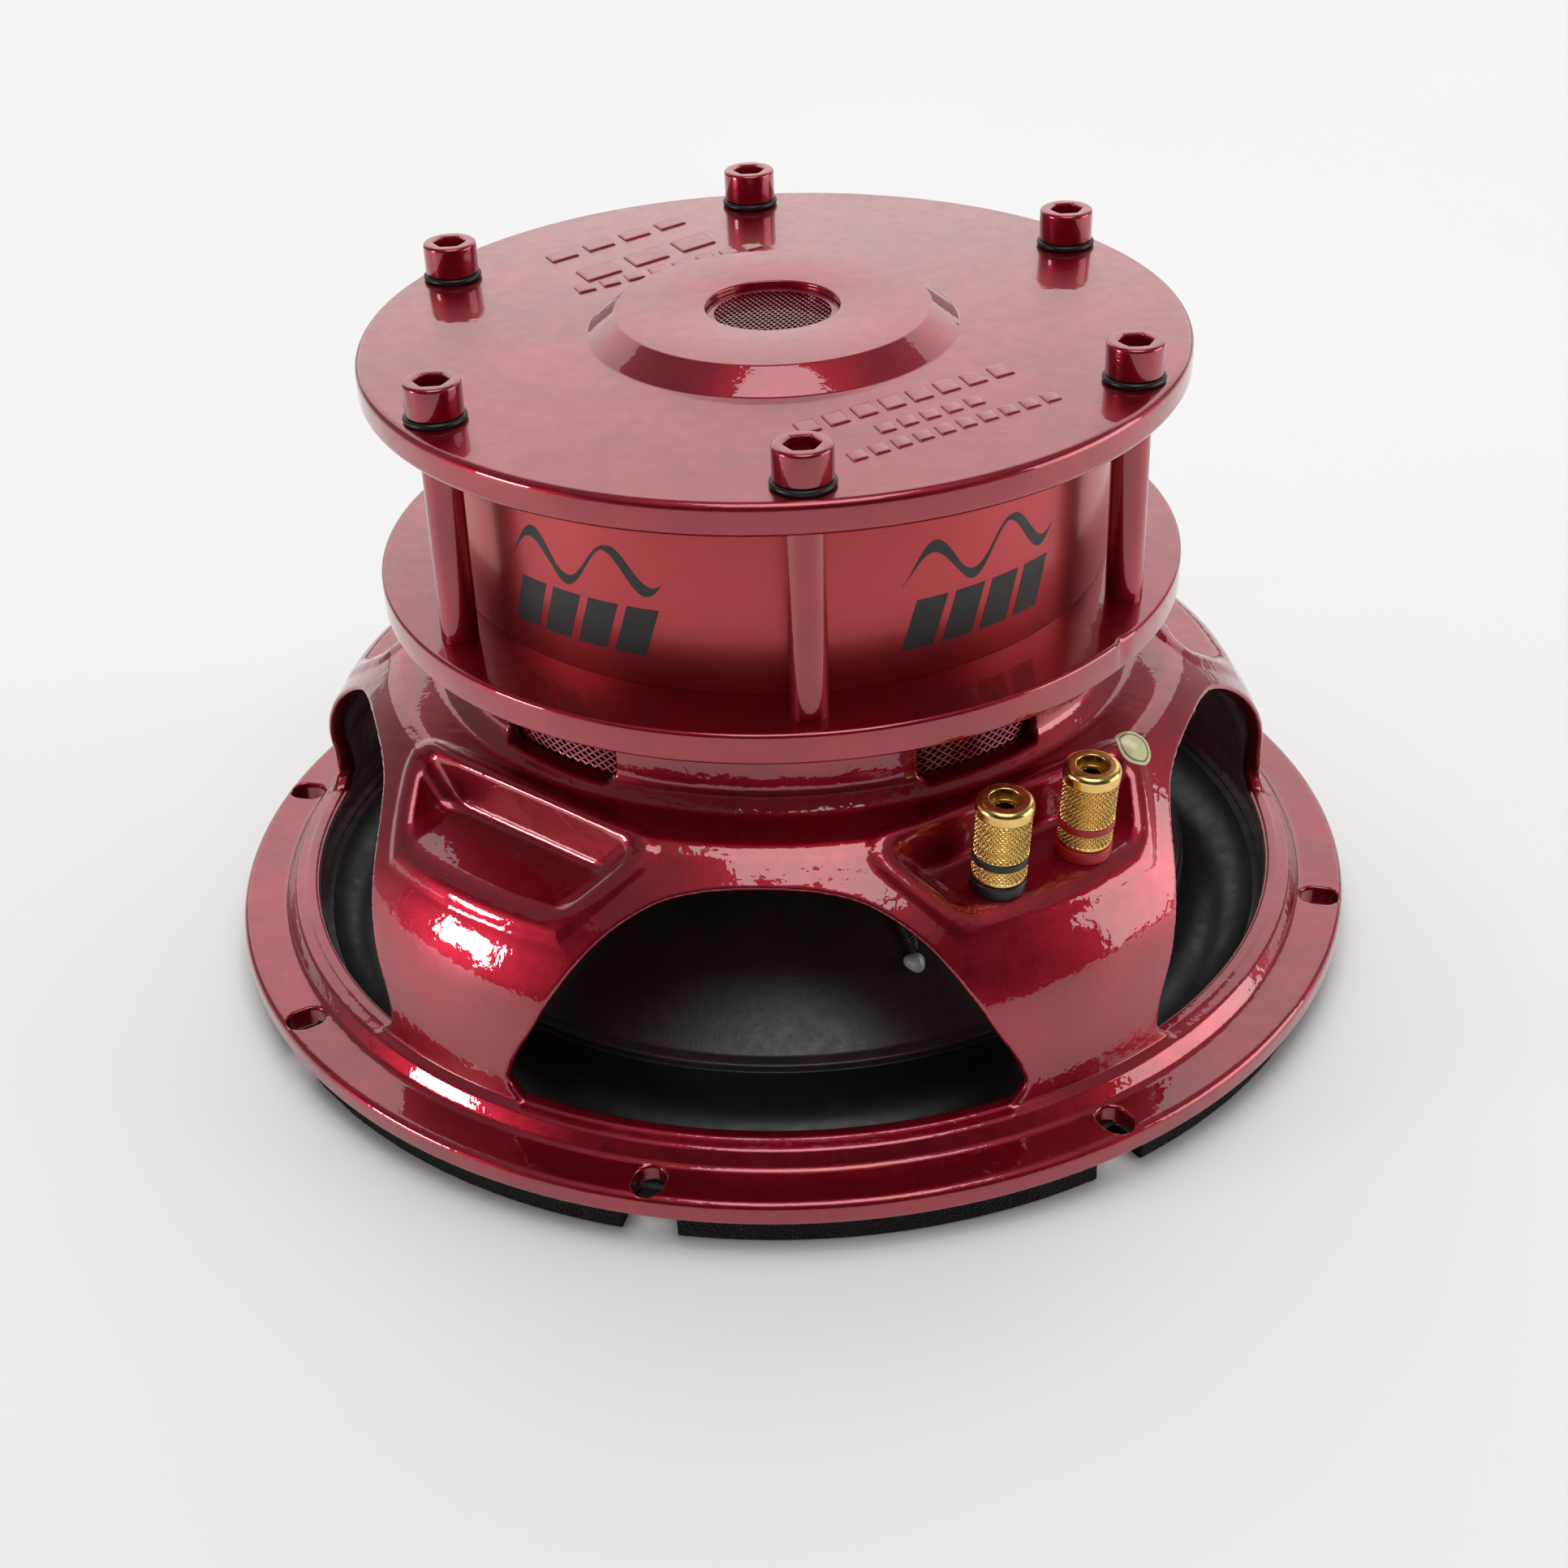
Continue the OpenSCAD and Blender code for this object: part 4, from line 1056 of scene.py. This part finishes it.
SP_IN, SP_OUT = 32.55, box_mm("spider")[1][0]
Z_SP = box_mm("spider")[1][2] - 0.8
WAVES, WAVE_H = 6, 1.7
t = np.linspace(0, 1, 145)
wr = SP_IN + 3 + (SP_OUT - 8 - SP_IN - 3) * t
wz = np.minimum(Z_SP - WAVE_H + WAVE_H * np.cos(WAVES * 2 * pi * t), Z_SP)
low = np.stack([wr, wz], -1)
spider = np.vstack([
    [(SP_IN, Z_SP - 3), (SP_IN + 1, Z_SP - 3), (SP_IN + 1.2, Z_SP)], low, [(SP_OUT, Z_SP), (SP_OUT, Z_SP + 0.8)],
    (low + np.array([0, 0.8]))[::-1], [(SP_IN, Z_SP + 0.8)]])
sectors("spider_cloth", spider, 20, 9, M["spider"], "spider")
ROLL_IN, ROLL_OUT = CONE_R + 0.4, BORE_R - 1
ROLL_MID, ROLL_R = (ROLL_IN + ROLL_OUT) / 2, (ROLL_OUT - ROLL_IN) / 2
Z_ROLL = Z_FACE + 3.9


def roll(r, z_end, n=40):
    last = pi - math.asin((Z_ROLL - z_end) / r)
    w = np.linspace(0, last, n)
    return np.stack([ROLL_MID - r * np.cos(w), Z_ROLL - r * np.sin(w)], -1)


Z_GLUE = Z_RIM - 1.4
outer_roll, inner_roll = roll(ROLL_R + 0.6, Z_FACE), roll(ROLL_R - 0.6, Z_FACE + 1.2)[::-1]
surround = rounded(
    [(CONE_R - 6, Z_GLUE), (CONE_R - 6, Z_GLUE - 1.2), (ROLL_MID - ROLL_R - 0.6, Z_GLUE - 1.2), *outer_roll,
     (SEAT_R - 0.2, Z_FACE), (SEAT_R - 0.2, Z_FACE + 1.2), *inner_roll, (ROLL_MID - ROLL_R + 0.6, Z_GLUE + 0.4)],
    [0, 0, 0.8] + [0] * len(outer_roll) + [0, 0] + [0] * len(inner_roll) + [0.3], 0.3)
sectors("surround_roll", surround, 24, 12, M["surround"], "surround")
PAPER = 1.4
drop = PAPER * math.hypot(1, CONE_SLOPE)
body = rounded(
    [(NECK_OUT_R - 1.3, Z_COLLAR + 3.2), (NECK_OUT_R - 1.3, Z_COLLAR + 1.3 * CONE_SLOPE - drop),
     (CONE_R - 3 - (drop - PAPER) / CONE_SLOPE, Z_GLUE), (CONE_R, Z_GLUE), (CONE_R, Z_RIM), (CONE_R - 3, Z_RIM),
     (NECK_OUT_R, Z_COLLAR), (NECK_OUT_R, Z_COLLAR + 3.2)], [0, 1, 2, 0.4, 0.5, 1.5, 1.5, 0.3], 0.4)
piece("cone_shell", revolve(finer(body, 4.0), 300), M["cone"], "cone", "black_paper", "cone")
CAP_R = 50.0
rise = CAP_R * 0.28
z_edge = cone_back(CAP_R) - drop - 0.1
ball = (CAP_R**2 + rise**2) / (2 * rise)
th = np.linspace(0, math.asin(CAP_R / ball), 60)
front, back = (np.stack([r * np.sin(th), z_edge - rise + ball - r * np.cos(th)], -1) for r in (ball, ball - 1.0))
front[0, 0] = back[0, 0] = 0.0
dome = revolve(np.vstack([front, back[-2::-1]]), 240)
piece("dust_cap_dome", dome, M["cap"], "cone", "black_paper", "dust_cap", smooth=50, weld=True)

# gasket of eight foam arcs, cut a little unevenly
GASKET_OUT = FLANGE_R - 3.1
half_gap = math.degrees(math.asin(6 / GASKET_OUT))
gasket = [(BORE_R + 0.6, 0), (GASKET_OUT, 0), (GASKET_OUT, Z_FACE - 0.02), (BORE_R + 0.6, Z_FACE - 0.02)]
gasket = finer(rounded(gasket, [0.6, 1.1, 0.3, 0.3], 0.3), 1.6)
for k in range(8):
    a0 = SLOT_TURN + 45 * k + half_gap
    v, f = revolve(gasket, 90, a0, a0 + 45 - 2 * half_gap)
    r = np.hypot(v[:, 0], v[:, 1])
    ang = np.arctan2(v[:, 1], v[:, 0])
    free = (v[:, 2] > 0.3) & (v[:, 2] < Z_FACE - 0.4) & (r > BORE_R + 3)
    wob = 0.10 * np.sin(ang * 61 + k) + 0.07 * np.sin(ang * 143 + 2 * k + v[:, 2]) + 0.05 * rng.standard_normal(len(v))
    v[:, :2] *= (1 + np.where(free, wob - 0.15, 0) / r)[:, None]
    piece(f"gasket_foam_{k + 1}", (v, f), M["foam"], "frame", "foam_rubber", f"gasket_{k + 1}", smooth=50)

# ---- binding posts ----

GROOVE_Z, GROOVE_H = 4.0, 1.8


def knob_mesh(n_teeth=34, pitch=1.1, depth=0.5):
    """Knob with crossed knurling, a plain band, a rounded cap and a bore. One closed grid."""
    n = n_teeth * 8
    knurl_r, groove_r, groove_top = KNOB_R - 0.25, KNOB_R - 0.7, GROOVE_Z + GROOVE_H
    prof = rounded(
        [(2.86, 0), (knurl_r, 0), (knurl_r, GROOVE_Z), (groove_r, GROOVE_Z), (groove_r, groove_top),
         (knurl_r, groove_top), (knurl_r, 15.55), (KNOB_R, 15.55), (KNOB_R, KNOB_H), (3.3, KNOB_H),
         (3.3, KNOB_H - 2.4), (2.86, KNOB_H - 2.4)],
        [0.1, 0.45, 0.12, 0.05, 0.05, 0.12, 0.08, 0.3, 2.2, 0.3, 0, 0.1], 0.16)
    prof = finer(prof, 0.13)
    r, a = np.meshgrid(prof[:, 0], 2 * pi * np.arange(n) / n)
    z = np.broadcast_to(prof[:, 1], r.shape)
    zone = np.clip(np.minimum(z - 0.85, GROOVE_Z - 0.12 - z) / 0.15, 0, 1)
    zone += np.clip(np.minimum(z - GROOVE_Z - 1.95, 15.45 - z) / 0.15, 0, 1)
    skin = np.clip((r - (KNOB_R - 0.32)) / 0.05, 0, 1)
    u, w = a * n_teeth / (2 * pi), z / pitch
    peak = np.minimum(*(1 - 2 * np.abs((t % 1.0) - 0.5) for t in (u + w, u - w)))
    r = r + zone * skin * depth * (np.clip(peak * 1.5, 0, 0.85) - 0.85)
    return polar(r, a, z + KNOB_Z).reshape(-1, 3), grid_faces(n, len(prof), True, True)


def stud_profile():
    """Threaded below the deck and inside the knob, with the jack's bore in its top."""
    pts = [(0.01, -13), (2.2, -13), (2.5, -12.6)]
    z = -12.6
    while z < -5.0:
        pts += [(2.5, z + 0.05), (2.2, z + 0.45), (2.5, z + 0.85)]
        z += 0.85
    pts += [(2.5, 2.88), (2.8, 2.92)]
    z = 3.0
    while z < 18.2:
        pts += [(2.8, z + 0.1), (2.48, z + 0.5), (2.8, z + 0.9)]
        z += 1.0
    return pts + [(2.8, 19.0), (2.55, 19.3), (2.2, 19.3), (2.05, 19.1), (2.05, 6.5), (0.01, 6.5)]


base = rounded([(2.55, -3.5), (3.2, -3.5), (3.2, 0), (5.95, 0), (5.95, 2.9), (2.55, 2.9)],
               [0, 0.2, 0, 0.3, 0.45, 0.1], 0.15)
ring = rounded([(5.33, 7.08), (5.95, 7.08), (5.95, 8.82), (5.33, 8.82)], [0.05, 0.2, 0.2, 0.05], 0.08)
for name, side in (("black", -1), ("red", 1)):
    moulding = M[f"{name}_plastic"]
    for node, suffix, part, mat, body, slot_name, smooth in (
            (f"post_base_{name}", "moulded", revolve(base, 128), moulding, "frame", f"{name}_plastic", 40),
            (f"post_stud_{name}", "thread", revolve(stud_profile(), 96), M["gold"], "frame", "gold_plate", 30),
            (f"knob_{name}", "knurled", knob_mesh(), M["gold_knurl"], f"knob_{name}", "gold_plate", 50),
            (f"knob_band_{name}", "ring", revolve(ring, 128), moulding, f"band_{name}", f"{name}_plastic", 60)):
        piece(f"{node}_{suffix}", (at_post(part[0], side), part[1]), mat, body, slot_name, node, smooth=smooth)
    dress(f"post_washer_{name}", M["black_plastic"])
    dress(f"post_nut_{name}", M["gold"])
    dress(f"post_lug_{name}", M["tin"])

# ---- leads: braided, held by the lug at one end and the cement at the other ----

PAD_R, PAD_TURN, LUG_L = CONE_R - 17, 12.4, 9.5


def lead_ends(side):
    """Where a lead leaves its lug, and where the cement holds it."""
    x, z = POST_R - LUG_L * math.cos(POST_LEAN), Z_POST - 8.5 + LUG_L * math.sin(POST_LEAN)
    p = turned([[x, side * POST_GAP / 2, z]], ARM_TURN)[0]
    return p, polar(PAD_R, math.radians(ARM_TURN + side * PAD_TURN), cone_back(PAD_R) + 3.47)


def lead_route(side, n):
    """Half an oval from one end to the other."""
    p, q = lead_ends(side)
    x, m = (p - q) / 2, (p + q) / 2
    y = np.linalg.norm(x) * 0.8 * np.append(-polar(1, math.radians(ARM_TURN + side * 18.4), 0)[:2], 0.9)
    w = np.linspace(0, pi, n + 1)[:, None]
    return m + x * np.cos(w) + y * np.sin(w)


for name, side in (("black", -1), ("red", 1)):
    route = lead_route(side, 60)
    u, w = across(route)
    along = np.concatenate([[0], np.cumsum(np.linalg.norm(np.diff(route, axis=0), axis=1))])
    parts = []
    for k in range(6):
        t = 2 * pi * (k / 6 + along / 7.0)[:, None]
        parts.append(strand(route + 0.47 * (np.cos(t) * u + np.sin(t) * w), 0.38, 7))
    ob = new_mesh(f"lead_{name}_braid", *join_parts(parts), M["braid"], 60)
    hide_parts(f"lead_{name}")
    p, q = lead_ends(side)
    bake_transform(ob)

    # cement drop on the cone
    a = np.linspace(0, 2 * pi, 49)[:-1]
    rings = []
    for h, s in ((-0.35, 1.0), (0.25, 1.02), (0.8, 0.92), (1.4, 0.74), (1.9, 0.52), (2.2, 0.30), (2.28, 0.02)):
        rr = 2.1 * s * (1 + 0.10 * np.sin(2 * a + side) + 0.08 * np.sin(3 * a + 1.3))
        rings.append(polar(rr, a, h) * [1.15, 1, 1])
    turn = ARM_TURN + side * PAD_TURN
    v = turned(leant(np.concatenate(rings), math.atan(CONE_SLOPE)), turn)
    v += polar(PAD_R, math.radians(turn), cone_back(PAD_R))
    drop_part = (v, loft_faces(len(rings), len(a)))
    piece(f"lead_pad_{name}_drop", drop_part, M["glue"], "cone", "cement", f"lead_pad_{name}", smooth=80)

    # wire of the coil, laid along the cone up to the cement
    k = np.linspace(0, 1, 90)
    rr = (CONE_R - 18.5) + (NECK_OUT_R + 2 - CONE_R + 18.5) * k
    az = np.radians(ARM_TURN + side * (PAD_TURN + 1.4 * np.sin(9 * k) * np.sin(pi * k)))
    pts, beside = polar(rr, az, cone_back(rr) + 0.45), polar(1, az + pi / 2, 0)
    twist = []
    for q in range(3):
        t = (2 * pi * q / 3 + 70 * k)[:, None]
        twist.append(strand(pts + 0.3 * np.cos(t) * beside + 0.3 * np.sin(t) * np.array([0, 0, 1.0]), 0.3, 6))
    piece(f"coil_wire_{name}", join_parts(twist), M["braid"], "cone", "copper_wire", smooth=60)

# ---- sticker ----


def sticker_disc():
    """A thin disc of rings pushed onto the shoulder along one direction."""
    rr = np.concatenate([[0.02], np.linspace(0.3, 4.5, 16)])
    a = np.linspace(0, 2 * pi, 73)[:-1]
    c = sum(box_mm("origin_sticker")) / 2
    az = math.atan2(c[1], c[0])
    mid, nrm = settle(basket_field, polar([91.3], az, Z_SHELF - 1.2), 3, h=2.5)
    mid, nrm = mid[0], nrm[0] / np.linalg.norm(nrm[0])
    e2 = np.cross(nrm, [math.cos(az), math.sin(az), 0])
    e2 /= np.linalg.norm(e2)
    e1 = np.cross(e2, nrm)
    flat = polar(rr[:, None], a[None], 0).reshape(-1, 3)
    p = mid + flat[:, :1] * e1 + flat[:, 1:2] * e2
    for _ in range(8):
        p = p - np.clip(basket_field(*p.T), -1, 1)[:, None] * nrm
    n, m = len(rr), len(a)
    q = grid_faces(n, m, wrap_cols=True)
    j = np.arange(m)
    k, rim = (j + 1) % m, (n - 1) * m
    edge = np.stack([rim + k, rim + j, rim + j + n * m, rim + k + n * m], -1)
    faces = np.vstack([q, q[:, ::-1] + n * m, edge]).tolist() + [list(j), list(j + n * m)[::-1]]
    return np.vstack([p + nrm * 0.12, p + nrm * 0.01]), faces, m


v, f, inner = sticker_disc()
piece("origin_sticker_foil", (v, f), sticker_face(tuple(v[:inner].mean(0) * MM)), "frame", "gold_foil",
      "origin_sticker", smooth=60)

for node, mat in (("magnet_front", "ferrite"), ("magnet_rear", "ferrite"), ("plate_screws", "black_steel"),
                  ("coil_former", "former"), ("voice_coil", "copper")):
    dress(node, M[mat])

# ---- studio ----

FLOOR_HALF, FLOOR_LINES = 4000, 25
x = np.linspace(-FLOOR_HALF, FLOOR_HALF, FLOOR_LINES)
xx, yy = np.meshgrid(x, x, indexing="ij")
v = np.stack([xx, yy, np.full_like(xx, -0.02)], -1).reshape(-1, 3)
new_mesh("floor", v, grid_faces(FLOOR_LINES, FLOOR_LINES), floor_paint(), 180)


def aimed(ob, at, target):
    ob.location = at
    ob.rotation_euler = (Vector(target) - Vector(at)).to_track_quat("-Z", "Y").to_euler()
    return ob


def softbox(name, at, target, wide, high, power, color=(1, 1, 1), glossy=True):
    data = bpy.data.lights.new(name, "AREA")
    data.shape, data.size, data.size_y, data.energy, data.color = "RECTANGLE", wide, high, power, color
    ob = bpy.data.objects.new(name, data)
    bpy.context.scene.collection.objects.link(ob)
    ob.visible_glossy = glossy
    return aimed(ob, at, target)


def flag(name, at, target, wide, high, tone):
    """A dark panel that only shows up in reflections."""
    m = Nodes(name + "_cloth")
    m.set(Base_Color=m.mottle(2, 2, 0.5, (tone,) * 3, (tone * 1.2,) * 3), Roughness=0.9)
    w, h = wide / 2 / MM, high / 2 / MM
    ob = new_mesh(name, [(-w, -h, 0), (w, -h, 0), (w, h, 0), (-w, h, 0)], [(0, 1, 2, 3)], m.mat, 180)
    ob.visible_camera = ob.visible_diffuse = ob.visible_shadow = False
    aimed(ob, at, target)


def from_angle(az, el, dist, low=0.06):
    """A place in metres, by direction and distance from the part."""
    a, e = math.radians(az), math.radians(el)
    return (dist * math.cos(a) * math.cos(e), dist * math.sin(a) * math.cos(e), dist * math.sin(e) + low)


def soft_at(name, az, el, dist, wide, high, bright, color=(1, 1, 1)):
    """A softbox given by direction, size and how bright its face is."""
    softbox(name, from_angle(az, el, dist), (0, 0, 0.06), wide, high, bright * pi * wide * high, color)


softbox("overhead", (0.15, -0.53, 1.60), (0.14, -0.44, 0.0), 0.95, 0.98, 2.9 * pi * 0.93)
soft_at("window_left", -159, 10, 1.7, 0.46, 0.30, 17.0)
soft_at("window_right", 0, 13, 1.8, 1.25, 0.85, 3.0, (1, 0.97, 0.96))
soft_at("back_wall", 92, 29, 2.3, 4.4, 1.9, 1.0)
softbox("fill", (-0.15, 0.75, 2.2), (-0.1, 0.6, 0), 2.6, 2.0, 29, glossy=False)
for k, az in enumerate((-150, -90, -30)):
    c = from_angle(az, 22, 2.4, 0.0)
    flag(f"flag_{k + 1}", c, (c[0] * 0.2, c[1] * 0.2, 0.45), 2.7, 1.9, 0.03)
world = bpy.data.worlds.new("studio")
world.use_nodes = True
bpy.context.scene.world = world
world.node_tree.nodes["Background"].inputs["Color"].default_value = (0.93, 0.935, 0.94, 1)
world.node_tree.nodes["Background"].inputs["Strength"].default_value = 0.19
bpy.context.scene.view_settings.view_transform = "Standard"
bpy.context.scene.view_settings.look = "None"
